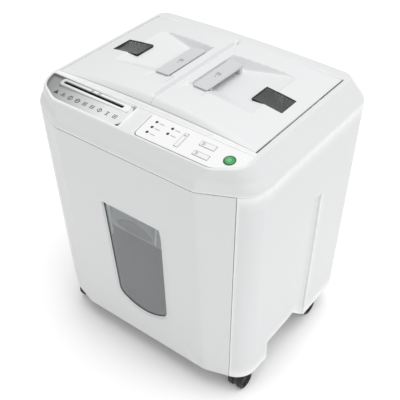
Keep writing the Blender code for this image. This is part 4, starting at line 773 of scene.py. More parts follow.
@dataclass(frozen=True)
class HousingForm:
    """The shape that every outer panel shares: its plan at each height, its roof and its control strip."""

    half_width: float = 0.266
    half_depth: float = 0.224
    bottom_z: float = 0.059
    seam_z: float = 0.568
    top_z: float = 0.627
    wall: float = 0.003
    taper: float = 0.010
    front_lean: float = 0.034
    flat_half: float = 0.167
    rim_flat_half: float = 0.186
    seam_slope: float = 0.485
    bottom_slope: float = 0.324
    front_radius: float = 0.050
    rear_radius: float = 0.022
    kink_reach: float = 0.006
    shoulder_rise: float = 0.026
    shoulder_inset: float = 0.0085
    top_inset: float = 0.0245
    rim_drop: float = 0.013
    rim_inset: float = 0.0184
    crown: float = 0.008
    lid_front_y: float = -0.134
    lid_back_y: float = 0.170
    lid_edge_x: float = 0.230
    opening_x: float = 0.232
    strip_back_y: float = -0.144

    def drop(self, z: float) -> float:
        """How far down the cabinet a height is, from 0 at the seam to 1 at the bottom."""
        return ramp(self.seam_z - z, 0.0, self.seam_z - self.bottom_z)

    def inset(self, z: float) -> float:
        """How far the cover draws in above the seam."""
        rise = z - self.seam_z
        if rise <= self.shoulder_rise:
            return self.shoulder_inset * (max(rise, 0.0) / self.shoulder_rise) ** 2
        slope = (self.top_inset - self.shoulder_inset) / (self.top_z - self.seam_z - self.shoulder_rise)
        return self.shoulder_inset + slope * (rise - self.shoulder_rise)

    def slope(self, z: float) -> float:
        """Run back per run sideways of the front facets."""
        return self.seam_slope + self.drop(z) * (self.bottom_slope - self.seam_slope)

    def front(self, z: float) -> float:
        """The front's y at a height."""
        return -self.half_depth + self.front_lean * self.drop(z) + self.inset(z)

    def side(self, z: float) -> float:
        """The side's x at a height."""
        return self.half_width - self.taper * self.drop(z) - self.inset(z)

    def back(self, z: float) -> float:
        """The back's y at a height."""
        return self.half_depth - self.taper * self.drop(z) - self.inset(z)

    def flat(self, z: float) -> float:
        """Half width of the flat front at a height."""
        widening = ramp(z, self.seam_z + self.shoulder_rise, self.top_z - self.rim_drop)
        return self.flat_half + widening * (self.rim_flat_half - self.flat_half)

    def door_edge(self, z: float) -> float:
        """The x of the split between door and side panel."""
        return self.half_width - 0.032 - 0.0145 * self.drop(z)

    def half_plan(self, z: float) -> list[Flat]:
        """The right half of the outline, from the middle of the front to the middle of the back."""
        angle = math.atan(self.slope(z))
        kink, y = self.flat(z), self.front(z)
        x_side, x_back = self.side(z), self.back(z)
        reach = self.kink_reach
        points = [(x, y) for x in spread(0.0, kink - reach, 13)]
        for share in (0.25, 0.5, 0.75, 1.0):
            a, b, c = (1 - share) ** 2, 2 * share * (1 - share), share**2
            x = (kink - reach) * a + kink * b + (kink + reach * math.cos(angle)) * c
            points.append((x, y * a + y * b + (y + reach * math.sin(angle)) * c))
        radius = self.front_radius
        corner_y = y + (x_side - kink) * math.tan(angle)
        tangent = radius * math.tan((math.pi / 2 - angle) / 2)
        centre = (x_side - radius, corner_y + tangent)
        start = arc_of(centre, radius, angle - math.pi / 2, 0.0, 12)
        last = points[-1]
        run_x, run_y = start[0][0] - last[0], start[0][1] - last[1]
        points += [(last[0] + run_x * s, last[1] + run_y * s) for s in (0.3, 0.65)]
        points += start
        rear = self.rear_radius
        rear_centre = (x_side - rear, x_back - rear)
        points += [(x_side, centre[1] + (rear_centre[1] - centre[1]) * s) for s in spread(0.05, 0.95, 19)]
        points += arc_of(rear_centre, rear, 0.0, math.pi / 2, 8)
        points += [(x, x_back) for x in spread((x_side - rear) * 0.92, 0.0, 12)]
        return points

    def strip_z(self, y: float) -> float:
        """Height of the sloping control strip."""
        run = self.strip_back_y + self.half_depth - self.rim_inset
        return self.top_z + self.rim_drop / run * (y - self.strip_back_y)

    def roof_z(self, x: float, y: float) -> float:
        """Height of the cover's top surface."""
        if y <= self.strip_back_y:
            return self.strip_z(y)
        crown = self.crown * (1 - (x / self.opening_x) ** 2)
        return self.top_z + crown * ramp(y, self.strip_back_y, self.lid_front_y)

    @property
    def strip_tilt(self) -> float:
        """Angle of the control strip."""
        return math.atan((self.strip_z(-0.15) - self.strip_z(-0.16)) / 0.01)

    def on_strip(self, x: float, y: float, out: float = 0.0) -> Matrix:
        """A place on the control strip, its X along it and its Z out of it."""
        place = Matrix.Translation((x, y, self.strip_z(y))) @ Matrix.Rotation(self.strip_tilt, 4, "X")
        return place @ Matrix.Translation((0, 0, out))

    def above_strip(self, outline: Sequence[Flat], low: float, high: float) -> bpy.types.Mesh:
        """A plate over a plan, between two heights measured from the control strip."""
        rings = [[(x, y, self.strip_z(y) + level) for x, y in outline] for level in (low, high)]
        return loft(rings, "strip_plate")


@dataclass
class TopCover:
    """The white top cover: shoulder, rim, sloping strip with the slot's well, and the lids' opening."""

    form: HousingForm
    palette: Palette
    seam_gap: float = 0.0009
    rim_radius: float = 0.0022
    well_right: float = -0.022
    well_rim: float = 0.0050
    well_deep: float = 0.0062
    well_run: float = 0.214
    panel_left: float = 0.017
    panel_rim: float = 0.0045

    def column(self, ends: Callable[[float], Flat]) -> list[Spot]:
        """One line of the skin, from the seam up over the rim and in to the lids' opening.

        Args:
            ends: gives the outline's point at a height.

        Returns:
            Points from the seam to the opening's edge.
        """
        form = self.form
        rise = form.shoulder_rise
        levels = [form.seam_z + self.seam_gap]
        levels += [form.seam_z + rise * s for s in (0.15, 0.3, 0.45, 0.6, 0.75, 0.9, 1.0)]
        meet = form.top_z
        for _ in range(12):
            meet = form.roof_z(*ends(meet))
        rim = Vector((*ends(meet), meet))
        inward = Vector(self.target(rim.x, rim.y)) - Vector((rim.x, rim.y))
        step = inward.normalized() * self.rim_radius
        on_roof = Vector((rim.x + step.x, rim.y + step.y, 0.0))
        on_roof.z = form.roof_z(on_roof.x, on_roof.y)
        low = meet - self.rim_radius
        on_band = Vector((*ends(low), low))
        points = [(*ends(z), z) for z in levels if z < low - 0.001]
        points += [(*ends(z), z) for z in spread(levels[-1], low, 4)[1:]]
        for share in (0.2, 0.4, 0.6, 0.8, 1.0):
            mixed = on_band * (1 - share) ** 2 + rim * 2 * share * (1 - share) + on_roof * share**2
            points.append(tuple(mixed))
        shares = self.roof_shares(on_roof.y, rim.y + inward.y)
        for share in shares:
            x = on_roof.x + (rim.x + inward.x - on_roof.x) * share
            y = on_roof.y + (rim.y + inward.y - on_roof.y) * share
            points.append((x, y, form.roof_z(x, y)))
        return points

    def roof_shares(self, start: float, end: float) -> list[float]:
        """Where along its way over the roof a column has points, so that one lies on the strip's crease."""
        crease = self.form.strip_back_y
        if start < crease < end:
            bend = (crease - start) / (end - start)
            before = [bend * s for s in (0.25, 0.5, 0.75, 0.985)]
            return before + [bend + (1 - bend) * s for s in (0.04, 0.5, 1.0)]
        return [0.15, 0.3, 0.45, 0.6, 0.75, 0.88, 1.0]

    def target(self, x: float, y: float) -> Flat:
        """The nearest point of the lids' opening."""
        form = self.form
        edge = form.opening_x + 0.001
        across = max(min(x, edge), -edge)
        return across, min(max(y, form.lid_front_y - 0.0005), form.lid_back_y + 0.0005)

    def skin(self) -> bpy.types.Mesh:
        """The cover's outer surface as one ring of columns."""
        count = len(self.form.half_plan(self.form.seam_z))

        def end_at(index: int, sign: float) -> Callable[[float], Flat]:
            """Gives one column's point of the outline at any height."""
            def ends(z: float) -> Flat:
                """The outline's point at a height."""
                x, y = self.form.half_plan(z)[index]
                return sign * x, y
            return ends

        right = [self.column(end_at(i, 1.0)) for i in range(count)]
        left = [self.column(end_at(i, -1.0)) for i in range(count - 2, 0, -1)]
        columns = right + left
        outer = [[column[k] for column in columns] for k in range(len(columns[0]))]
        band = len(outer) - len(self.roof_shares(0.0, 1.0)) - 5
        inner = [[self.behind(row, i, k - band) for i in range(len(row))] for k, row in enumerate(outer)]
        return shell_between(outer, inner, "top_cover")

    def behind(self, row: Sequence[Spot], index: int, turn: int) -> Spot:
        """The point of the inner surface behind a point of a row: inwards on the band, below on the roof."""
        before, here, after = Vector(row[index - 1]), Vector(row[index]), Vector(row[(index + 1) % len(row)])
        along = after - before
        inward = Vector((-along.y, along.x, 0.0)).normalized()
        lean = ramp(turn, 0, 4) * math.pi / 2
        return tuple(here + (inward * math.cos(lean) - Vector((0, 0, math.sin(lean)))) * self.form.wall)

    def well_plan(self, grow: float) -> list[Flat]:
        """Plan of the sunken well round the disc slot."""
        form = self.form
        rim = self.well_rim - grow
        front = -form.half_depth + form.rim_inset + rim
        side = form.side(form.top_z) - rim
        back = form.strip_back_y - 0.0015 + grow
        corners = [(self.well_right, back), (self.well_right, front), (-form.rim_flat_half + 0.002, front)]
        corners += [(-side + 0.011, front + 0.021), (-side + 0.003, front + 0.034), (-side, back)]
        return round_corners(corners, [0.0, 0.0, 0.012, 0.007, 0.006, 0.003])

    def well_floor(self, x: float, y: float) -> float:
        """Height of the well's floor: flush at its right end, deepest at its left."""
        return self.form.strip_z(y) - self.well_deep * (self.well_right + 0.002 - x) / self.well_run

    def in_well(self, x: float, y: float, lift: float = 0.0) -> Matrix:
        """A place on the well's floor, its X along it and its Z out of it."""
        lean = Matrix.Rotation(-math.atan(self.well_deep / self.well_run), 4, "Y")
        place = Matrix.Translation((x, y, self.well_floor(x, y) + lift))
        return place @ Matrix.Rotation(self.form.strip_tilt, 4, "X") @ lean

    def panel_plan(self, grow: float) -> list[Flat]:
        """Plan of the control panel."""
        form = self.form
        front = -form.half_depth + form.rim_inset + self.panel_rim - grow
        back = form.strip_back_y - self.panel_rim / 2 + grow
        right = form.side(form.top_z) - self.panel_rim + grow
        left = self.panel_left - grow
        corners = [(left, back), (left, front), (form.rim_flat_half + grow, front)]
        corners += [(right - 0.011, front + 0.023), (right - 0.003, front + 0.034), (right, back)]
        return round_corners(corners, [0.0015, 0.0085, 0.010, 0.006, 0.006, 0.0015])

    def build(self) -> None:
        """Makes the cover with its cuts, and the well's floor with its painted shade."""
        form = self.form
        piece = Workpiece("top_cover_shell", self.skin())
        well = self.well_plan(0.0)
        piece.cut(form.above_strip(well, -0.015, 0.02))
        groove = [(x - 0.0015, y - 0.0015) for x, y in self.panel_plan(0.0)]
        for seat in (self.panel_plan(0.0002), groove):
            piece.cut(form.above_strip(seat, -0.0019, 0.02))
        piece.cut(form.above_strip(self.panel_plan(-0.004), -0.02, 0.02))
        front, back, top = form.lid_front_y, form.lid_back_y, form.top_z
        piece.join(box_of((-0.006, front - 0.002, top - 0.004), (0.006, back + 0.002, top + 0.001)))
        piece.join(box_of((-0.005, front + 0.020, top - 0.002), (0.005, back - 0.024, top + 0.0055)))
        for side in Side:
            piece.join(*self.lugs(side), self.trough(side))
        crease = form.strip_back_y
        piece.cut(box_of((-0.237, crease - 0.0006, top - 0.0009), (0.237, crease + 0.0004, top + 0.02)))
        piece.soften(0.0007)
        piece.finish(self.palette["housing_white"], "housing", "white_housing", ["top_cover"])
        self.build_well()

    def lugs(self, side: Side) -> list[bpy.types.Mesh]:
        """The arms under the lid's outer edge that hold its hinge rod."""
        low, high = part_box(f"{side.label}_hinge_rod")
        axis_x, axis_z = abs(low[0] + high[0]) / 2, (low[2] + high[2]) / 2
        made = []
        for near, far in ((low[1], low[1] + 0.006), (high[1] - 0.006, high[1])):
            section = arc_of((axis_x, axis_z), 0.0029, math.pi, 0.0, 8)
            drop, foot = axis_z - 0.0045, 0.2455
            section += [(axis_x + 0.0029, drop), (foot, drop)]
            section += [(foot, drop - 0.0029), (axis_x - 0.0029, drop - 0.0029)]
            rings = [[(x, y, z) for x, z in section] for y in (near, far)]
            made.append(mirrored(loft(rings, "lug"), side))
        return made

    def trough(self, side: Side) -> bpy.types.Mesh:
        """The rounded trough under the lid's outer edge, clear of the edge's swing."""
        low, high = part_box(f"{side.label}_hinge_rod")
        centre = (abs(low[0] + high[0]) / 2, (low[2] + high[2]) / 2)
        start, end = math.radians(22), math.radians(-72)
        outer, inner = (arc_of(centre, radius, start, end, 10) for radius in (0.0101, 0.0081))
        section = outer + list(reversed(inner))
        ends = (self.form.lid_front_y - 0.001, self.form.lid_back_y + 0.001)
        return mirrored(loft([[(x, y, z) for x, z in section] for y in ends], "trough"), side)

    def build_well(self) -> None:
        """The well's liner: a white floor, with painted shade darkening it towards the left, that sinks to
        the left behind a rounded rim.
        """
        block = self.form.above_strip(self.well_plan(-0.0002), -0.0125, -0.00005)
        piece = Workpiece("slot_well_floor", block)
        plan = self.well_plan(-0.0012)
        rings = [[(x, y, self.well_floor(x, y) + rise) for x, y in plan] for rise in (0.0, 0.02)]
        piece.cut(loft(rings, "well_hollow"))
        low, high = (Vector(corner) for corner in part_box("disc_slot_insert"))
        grow = Vector((0.0004, 0.0004, 0.01))
        piece.cut(box_of(low - grow, high + grow))
        piece.soften(0.0004)
        piece.finish(self.palette["well_grey"], "housing", "white_housing")


@dataclass
class PrintedMarks:
    """Generic printed marks: simple outlines of shapes, without letters."""

    form: HousingForm
    palette: Palette
    lift: float = 0.00012
    stroke: float = 0.0011

    def ring(self, radius: float, sides: int, turn: float = 0.0, squash: float = 1.0) -> list[list[Flat]]:
        """Outer and inner outline of a regular ring-shaped mark."""
        outlines = []
        for reach in (radius, radius - self.stroke):
            turns = [turn + 2 * math.pi * i / sides for i in range(sides)]
            outlines.append([(reach * math.cos(t), squash * reach * math.sin(t)) for t in turns])
        return outlines

    def glyph(self, kind: int) -> list[list[list[Flat]]]:
        """One of several plain pictogram shapes, each a list of filled areas with their holes."""
        s = self.stroke
        bar = [(-0.0022, -s / 2), (0.0022, -s / 2), (0.0022, s / 2), (-0.0022, s / 2)]
        upright = [(-s / 2, -0.0024), (s / 2, -0.0024), (s / 2, 0.0024), (-s / 2, 0.0024)]
        dot = [(0.0012 * math.cos(t), 0.0012 * math.sin(t)) for t in spread(0.0, 2 * math.pi * 11 / 12, 12)]
        triangle = self.ring(0.0046, 3, math.pi / 2)
        shapes = {
            0: [[triangle[0]]],
            1: [triangle, [dot]],
            2: [self.ring(0.0038, 20), [upright]],
            3: [self.ring(0.0038, 20), [bar]],
            4: [self.ring(0.0042, 4, math.pi / 4), [dot]],
            5: [self.ring(0.0042, 4, math.pi / 4), [bar]],
            6: [[dot], [[(x * 1.0, y + 0.0026) for x, y in bar]], [[(x, y - 0.0026) for x, y in bar]]],
            7: [self.ring(0.0042, 4, 0.0), [upright]],
        }
        return shapes[kind % len(shapes)]

    def lay(
        self, name: str, marks: Sequence[tuple[int, Matrix, float]], ink: str, body: str, slot: str
    ) -> None:
        """Prints marks as one thin piece.

        Args:
            name: the piece's name.
            marks: (glyph, place, scale) of each mark.
            ink: the ink's material.
            body: the body they are printed on.
            slot: the record's slot of the surface under them.
        """
        bm = bmesh.new()
        for kind, place, scale in marks:
            for area in self.glyph(kind):
                self.fill(bm, area, place @ Matrix.Diagonal((scale, scale, 1.0, 1.0)))
        Workpiece(name, mesh_of(bm, name)).finish(self.palette[ink], body, slot)

    def fill(self, bm: bmesh.types.BMesh, area: list[list[Flat]], place: Matrix) -> None:
        """Adds one filled area, as a thin closed slab, to a working mesh."""
        levels = (-0.00005, self.lift)
        if len(area) == 1:
            loops = [[bm.verts.new(place @ Vector((x, y, z))) for x, y in area[0]] for z in levels]
            bm.faces.new(list(reversed(loops[0])))
            bm.faces.new(loops[1])
            for i in range(len(loops[0])):
                j = (i + 1) % len(loops[0])
                bm.faces.new((loops[0][i], loops[0][j], loops[1][j], loops[1][i]))
            return
        rows = [area[0], area[0], area[1], area[1]]
        heights = (levels[0], levels[1], levels[1], levels[0])
        loops = [[bm.verts.new(place @ Vector((x, y, z))) for x, y in row] for row, z in zip(rows, heights)]
        for k in range(4):
            lower, upper = loops[k], loops[(k + 1) % 4]
            for i in range(len(lower)):
                j = (i + 1) % len(lower)
                bm.faces.new((lower[i], lower[j], upper[j], upper[i]))

    def dashes(self, name: str, spots: Sequence[tuple[Matrix, float, float]], ink: str) -> None:
        """Short plain bars that stand where captions would be.

        Args:
            name: the piece's name.
            spots: (place, length, width) of each bar.
            ink: the ink's material.
        """
        bm = bmesh.new()
        for place, length, width in spots:
            half, tall = length / 2, width / 2
            self.fill(bm, [[(-half, -tall), (half, -tall), (half, tall), (-half, tall)]], place)
        Workpiece(name, mesh_of(bm, name)).finish(self.palette[ink], "housing", "panel_white")


@dataclass
class DiscSlot:
    """The bezel with the slot for discs and cards, its chute, and the marks beside it."""

    form: HousingForm
    palette: Palette
    marks: PrintedMarks
    cover: TopCover
    slot_width: float = 0.0068
    slot_ends: tuple[float, float] = (-0.198, -0.045)
    first_mark: Flat = (-0.1965, -0.1815)
    marks_run: Flat = (0.153, -0.002)

    def build(self) -> None:
        """Makes the bezel, the black liner that paints the shade inside the slot, and prints its marks."""
        low, high = (Vector(corner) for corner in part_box("disc_slot_insert"))
        middle_y = (low.y + high.y) / 2
        left, right = self.slot_ends
        plan = rounded_box((low.x, low.y), (high.x, high.y), 0.0055)
        form = self.form
        piece = Workpiece("disc_slot_bezel", form.above_strip(plan, -0.0062, 0.0002))
        wide = self.slot_width / 2
        chute_low = (left - 0.003, middle_y - wide - 0.002, low.z)
        chute_high = (right + 0.003, middle_y + wide + 0.002, form.strip_z(middle_y) - 0.002)
        piece.join(box_of(chute_low, chute_high))
        slot = rounded_box((left, middle_y - wide), (right, middle_y + wide), wide * 0.95)
        piece.cut(prism(slot, low.z - 0.01, 0.64))
        piece.soften(0.0006)
        piece.finish(self.palette["slot_bezel"], "housing", "handle_grey", ["disc_slot_insert"])

        def shrunk(gap: float, radius: float) -> list[Flat]:
            """The slot's outline, drawn in by a gap."""
            near, far = middle_y - wide + gap, middle_y + wide - gap
            return rounded_box((left + gap, near), (right - gap, far), wide * radius)

        # Painted shade: a black liner just under the slot's mouth stands for the shade inside the dark
        # opening.
        slot_shade_top = form.strip_z(middle_y) - 0.0016
        slot_shade_liner = Workpiece("disc_slot_lining", prism(shrunk(0.0001, 0.9), low.z + 0.001, slot_shade_top))
        slot_shade_liner.cut(prism(shrunk(0.0006, 0.7), low.z - 0.01, 0.64))
        slot_shade_liner.finish(self.palette["black_plastic"], "housing", "black_plastic")
        spots = []
        for i, kind in enumerate((0, 1, 2, 3, 4, 5, 7, 6, 4)):
            x = self.first_mark[0] + self.marks_run[0] * i / 8
            y = self.first_mark[1] + self.marks_run[1] * i / 8
            spots.append((kind, self.cover.in_well(x, y, 0.00005), 1.45 if i else 1.5))
        self.marks.lay("slot_warning_marks", spots, "print_ink", "housing", "white_housing")
        pair = [(kind, form.on_strip(x, -0.1512, 0.0003), 1.1) for kind, x in ((4, -0.128), (5, -0.110))]
        self.marks.lay("slot_use_marks", pair, "faint_ink", "housing", "handle_grey")


@dataclass
class ControlPanel:
    """The bright control plate with its keys, lights and power button."""

    form: HousingForm
    palette: Palette
    cover: TopCover
    marks: PrintedMarks
    clearance: float = 0.0004
    key_gap: float = 0.0010

    def build(self) -> None:
        """Makes the plate, then everything set in it."""
        form = self.form
        plan = self.cover.panel_plan(0.0)
        seat = [(x - 0.0015, y - 0.0015) for x, y in self.cover.panel_plan(-0.0002)]
        under = Workpiece("control_plate_seat", form.above_strip(seat, -0.0019, -0.0013))
        under.finish(self.palette["black_plastic"], "housing", "black_plastic")
        plate = Workpiece("control_plate", form.above_strip(plan, -0.0012, 0.0002))
        for name in ("feed_key", "forward_key", "reverse_key"):
            centre, size = self.key_size(name)
            half = (size[0] / 2 + self.key_gap, size[1] / 2 + self.key_gap)
            hole = rounded_box((-half[0], -half[1]), half, 0.0014)
            plate.cut(prism(hole, -0.01, 0.01, form.on_strip(*centre)))
        button, radius = self.round_size("power_button")
        _, outer = self.round_size("power_button_ring")
        plate.cut(revolve([(0, -0.01), (outer, -0.01), (outer, 0.01), (0, 0.01)], form.on_strip(*button)))
        for x, y in self.lights():
            hole = [(0, -0.01), (0.0031, -0.01), (0.0031, 0.01), (0, 0.01)]
            plate.cut(revolve(hole, form.on_strip(x, y), 24))
        plate.soften(0.00035)
        plate.finish(self.palette["panel_white"], "housing", "panel_white", ["control_panel"])
        self.build_keys()
        self.build_power(button, radius, outer)
        self.build_lights()

    def key_size(self, name: str) -> tuple[Flat, Flat]:
        """A key's middle and size on the strip, from the frame."""
        low, high = (Vector(corner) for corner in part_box(name))
        tilt = self.form.strip_tilt
        height = high.z - low.z
        depth = high.y - low.y
        length = (depth * math.cos(tilt) - height * math.sin(tilt)) / math.cos(2 * tilt)
        middle_y = high.y - length / 2 * math.cos(tilt) - 0.0075 * math.sin(tilt)
        return ((low.x + high.x) / 2, middle_y), (high.x - low.x, length)

    def round_size(self, name: str) -> tuple[Flat, float]:
        """A round part's middle on the strip and radius, from the frame."""
        low, high = (Vector(corner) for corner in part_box(name))
        radius = (high.x - low.x) / 2
        tilt = self.form.strip_tilt
        rise = 0.0015 if name == "power_button" else 0.0010
        y = low.y + radius * math.cos(tilt) + rise * math.sin(tilt)
        return ((low.x + high.x) / 2, y), radius

    def lights(self) -> list[Flat]:
        """The status lights' places on the strip."""
        return [(0.0355, -0.158), (0.0355, -0.172), (0.0355, -0.186), (0.0712, -0.158), (0.0712, -0.172)]

    def build_keys(self) -> None:
        """Makes the three keys, each a dished cap, and the ring printed at its end."""
        marked_ends = {"feed_key": (0.0, 1.0), "forward_key": (-1.0, 0.0), "reverse_key": (-1.0, 0.0)}
        for name, glyph_end in marked_ends.items():
            centre, size = self.key_size(name)
            place = self.form.on_strip(*centre)
            half = (size[0] / 2, size[1] / 2)
            plan = rounded_box((-half[0], -half[1]), half, 0.0013)
            cap = Workpiece(f"{name}_cap", pillow(plan, -0.0075, 0.0010, 0.0005, place))
            dish = (half[0] * 0.8, half[1] * 0.8)
            cap.cut(pillow(rounded_box((-dish[0], -dish[1]), dish, 0.001), 0.0008, 0.004, 0.0005, place))
            cap.soften(0.0002)
            cap.finish(self.palette["key_grey"], name, "key_grey", [name])
            reach = max(half) - min(half)
            spot = place @ Matrix.Translation((glyph_end[0] * reach, glyph_end[1] * reach, 0.00082))
            self.marks.lay(f"{name}_mark", [(2, spot, 0.95)], "faint_ink", name, "key_grey")

    def build_power(self, centre: Flat, radius: float, outer: float) -> None:
        """Makes the green button with its raised lip and the dark ring round it."""
        place = self.form.on_strip(*centre)
        rim = [(0.0004, -0.0075), (0.0, -0.0071), (0.0, 0.0006), (0.0005, 0.0012), (0.0014, 0.0015)]
        rim += [(0.0026, 0.0013), (0.0042, 0.0009)]
        dish = [(0, -0.0075), *((radius - inset, z) for inset, z in rim), (0.0022, 0.0007), (0, 0.0007)]
        button = Workpiece("power_button_cap", revolve(dish, place))
        button.finish(self.palette["power_green"], "power_button", "power_green", ["power_button"])
        inner = radius + self.clearance
        band = [(inner, -0.004), (outer, -0.004), (outer, 0.0006), (outer - 0.0004, 0.0010)]
        band += [(inner + 0.0006, 0.0010), (inner, 0.0005)]
        ring = Workpiece("power_ring", revolve(band, place))
        ring.finish(self.palette["ring_green"], "housing", "ring_green", ["power_button_ring"])
        spot = place @ Matrix.Translation((0, 0, 0.00072))
        self.marks.lay("power_button_mark", [(2, spot, 0.9)], "mark_green", "power_button", "power_green")

    def build_lights(self) -> None:
        """Makes the five lenses and the plain bars that stand for their captions."""
        bm = bmesh.new()
        for x, y in self.lights():
            dome = [(0, -0.0030), (0.0029, -0.0030), (0.0029, 0.0002)]
            dome += [(0.0025, 0.0007), (0.0015, 0.0011), (0, 0.0012)]
            lens = revolve(dome, self.form.on_strip(x, y), 20)
            bm.from_mesh(lens)
            bpy.data.meshes.remove(lens)
        Workpiece("status_lenses", mesh_of(bm, "status_lenses")).finish(
            self.palette["light_dark"], "housing", "light_lens", ["status_light_guide"])
        bars = [(self.form.on_strip(x + 0.0125, y - 0.001, 0.0004), 0.011, 0.0011) for x, y in self.lights()]
        self.marks.dashes("caption_bars", bars, "faint_ink")


# ---------------------------------------------------------------- lids


@dataclass
class Lid:
    """One of the two domed lids, with its finger scoop, grip bar, window and hinge barrel."""

    form: HousingForm
    palette: Palette
    marks: PrintedMarks
    side: Side
    dome: float = 0.020
    back_crown: float = 0.010
    nose: float = 0.015
    thickness: float = 0.0025
    split: float = 0.0003
    front_y: float = -0.1334
    scoop_depth: float = 0.0185
    scoop_outer: float = 0.162
    scoop_back: float = 0.099
    scoop_front: float = -0.050
    handle: tuple[float, float, float, float] = (0.028, 0.062, -0.046, 0.077)
    window: tuple[float, float, float, float] = (0.138, 0.204, -0.010, 0.042)

    @property
    def body(self) -> str:
        """The body the lid rides on."""
        return f"{self.side.label}_lid"

    def dome_z(self, x: float, y: float) -> float:
        """The lid's surface without its valley, scoop and ramp."""
        form = self.form
        front = ramp(y - form.lid_front_y, 0.0, self.nose)
        back = ramp(form.lid_back_y - y, 0.0, self.nose)
        crown = form.crown + (self.dome - form.crown) * math.sin(front * math.pi / 2)
        crown = min(crown, self.back_crown + (self.dome - self.back_crown) * math.sin(back * math.pi / 2))
        return form.top_z + crown * (1 - (x / form.lid_edge_x) ** 2)

    def scoop(self, x: float, y: float) -> float:
        """Depth of the finger scoop: deepest under the grip, rising to nothing outwards."""
        outer = self.handle[1]
        floor = 0.0012 + (self.scoop_depth - 0.0012) * (1 - ramp(x, outer, self.scoop_outer))
        inner = (x - self.handle[0] + 0.004) * 6.0
        back = (self.scoop_back + 0.10 * (x - outer) - 0.5 * max(x - 0.150, 0.0) - y) * 1.5
        front = (y - self.scoop_front) * 0.45
        side = (self.scoop_outer + 0.002 - x) * 1.2
        depth = soft_min(soft_min(floor, back, 0.0022), soft_min(front, min(inner, side), 0.002), 0.0022)
        return max(depth, 0.0)

    def lead_in(self, x: float, y: float) -> float:
        """Depth of the shallow ramp that leads a finger to the grip's front edge."""
        across = ease(x, 0.015, 0.019) * (1 - ease(x, self.handle[1] + 0.001, self.handle[1] + 0.006))
        front = self.handle[2]
        return 0.0035 * ramp(y, -0.076, front) * across * (1 - ease(y, front, front + 0.004))

    def valley(self, x: float, y: float) -> float:
        """Depth of the channel between the lids."""
        run = ease(y, -0.122, -0.108) * (1 - ease(y, 0.138, 0.150))
        return 0.0078 * (1 - ease(x, 0.0030, 0.0075)) * run

    def edge_drop(self, x: float, y: float) -> float:
        """How far the surface falls in the rounding of the lid's edges."""
        form, radius = self.form, 0.0012
        near = min(y - self.front_y, form.lid_back_y - y, form.lid_edge_x - 0.0010 - x, x - self.split)
        if near >= radius:
            return 0.0
        return radius - math.sqrt(max(radius**2 - (radius - near) ** 2, 0.0))

    def top(self, x: float, y: float) -> float:
        """The lid's upper surface."""
        sunk = self.dome_z(x, y) - self.scoop(x, y) - self.lead_in(x, y)
        return sunk - self.valley(x, y) - self.edge_drop(x, y)

    def underside(self, x: float, y: float) -> float:
        """The lid's lower surface."""
        return self.top(x, y) - self.thickness + self.edge_drop(x, y) * 0.5

    def grid(self, low: float, high: float, step: float) -> list[float]:
        """Grid lines that crowd at both ends, for the rounded edges."""
        ends = (0.0, 0.0002, 0.0006, 0.0012)
        inner = spread(low + 0.003, high - 0.003, max(int((high - low) / step), 3))
        return [low + e for e in ends] + inner + [high - e for e in reversed(ends)]

    def build(self) -> None:
        """Makes the shell, its window, its grip and its hinge."""
        form = self.form
        xs = self.grid(self.split, form.lid_edge_x - 0.0010, 0.0019)
        ys = self.grid(self.front_y, form.lid_back_y, 0.0019)
        shell = height_solid(xs, ys, self.top, self.underside)
        piece = Workpiece(f"{self.body}_shell", mirrored(shell, self.side))
        low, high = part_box(f"{self.side.label}_hinge_rod")
        axis_x, axis_z = abs(low[0] + high[0]) / 2, (low[2] + high[2]) / 2
        near, far = low[1] + 0.0064, high[1] - 0.0064
        barrel = revolve([(0.00155, near), (0.0032, near), (0.0032, far), (0.00155, far)],
                         facing((self.side.value * axis_x, 0, axis_z), (0, 1, 0)), 24)
        web_low = (axis_x - 0.002, near + 0.0006, axis_z + 0.0019)
        web_high = (axis_x + 0.0022, far - 0.0006, form.top_z - 0.0012)
        piece.join(barrel, mirrored(box_of(web_low, web_high), self.side))
        x0, x1, y0, y1 = self.window
        hole = prism(rounded_box((x0, y0), (x1, y1), 0.0022), form.top_z - 0.03, form.top_z + 0.05)
        piece.cut(mirrored(hole, self.side))
        piece.finish(self.palette["lid_white"], self.body, "white_housing", [self.body], sharp=38.0)
        self.build_window()
        self.build_ribs()
        self.build_handle()

    def build_window(self) -> None:
        """Makes the smoked pane, bowed front to back, and the dark frame it sits in."""
        x0, x1, y0, y1 = self.window
        middle, half = (y0 + y1) / 2, (y1 - y0) / 2

        def pane_top(x: float, y: float) -> float:
            """The pane's upper surface."""
            return self.dome_z(x, y) - 0.0010 - 0.0022 * (1 - ((y - middle) / half) ** 2)

        gap = 0.0003
        pane = height_solid(spread(x0 + gap, x1 - gap, 12), spread(y0 + gap, y1 - gap, 18), pane_top,
                            lambda x, y: pane_top(x, y) - 0.0018)
        glass = Workpiece(f"{self.body}_pane", mirrored(pane, self.side))
        glass.finish(self.palette["smoked_clear"], self.body, "smoked_clear", [f"{self.body}_window"])
        rim = height_solid(spread(x0 + gap, x1 - gap, 12), spread(y0 + gap, y1 - gap, 18),
                           lambda x, y: self.dome_z(x, y) - 0.0003, lambda x, y: self.dome_z(x, y) - 0.0040)
        frame_piece = Workpiece(f"{self.body}_window_gasket", mirrored(rim, self.side))
        land = 0.0013
        inner = prism(rounded_box((x0 + land, y0 + land), (x1 - land, y1 - land), 0.0015), 0.6, 0.7)
        frame_piece.cut(mirrored(inner, self.side))
        frame_piece.finish(self.palette["black_plastic"], self.body, "smoked_clear")

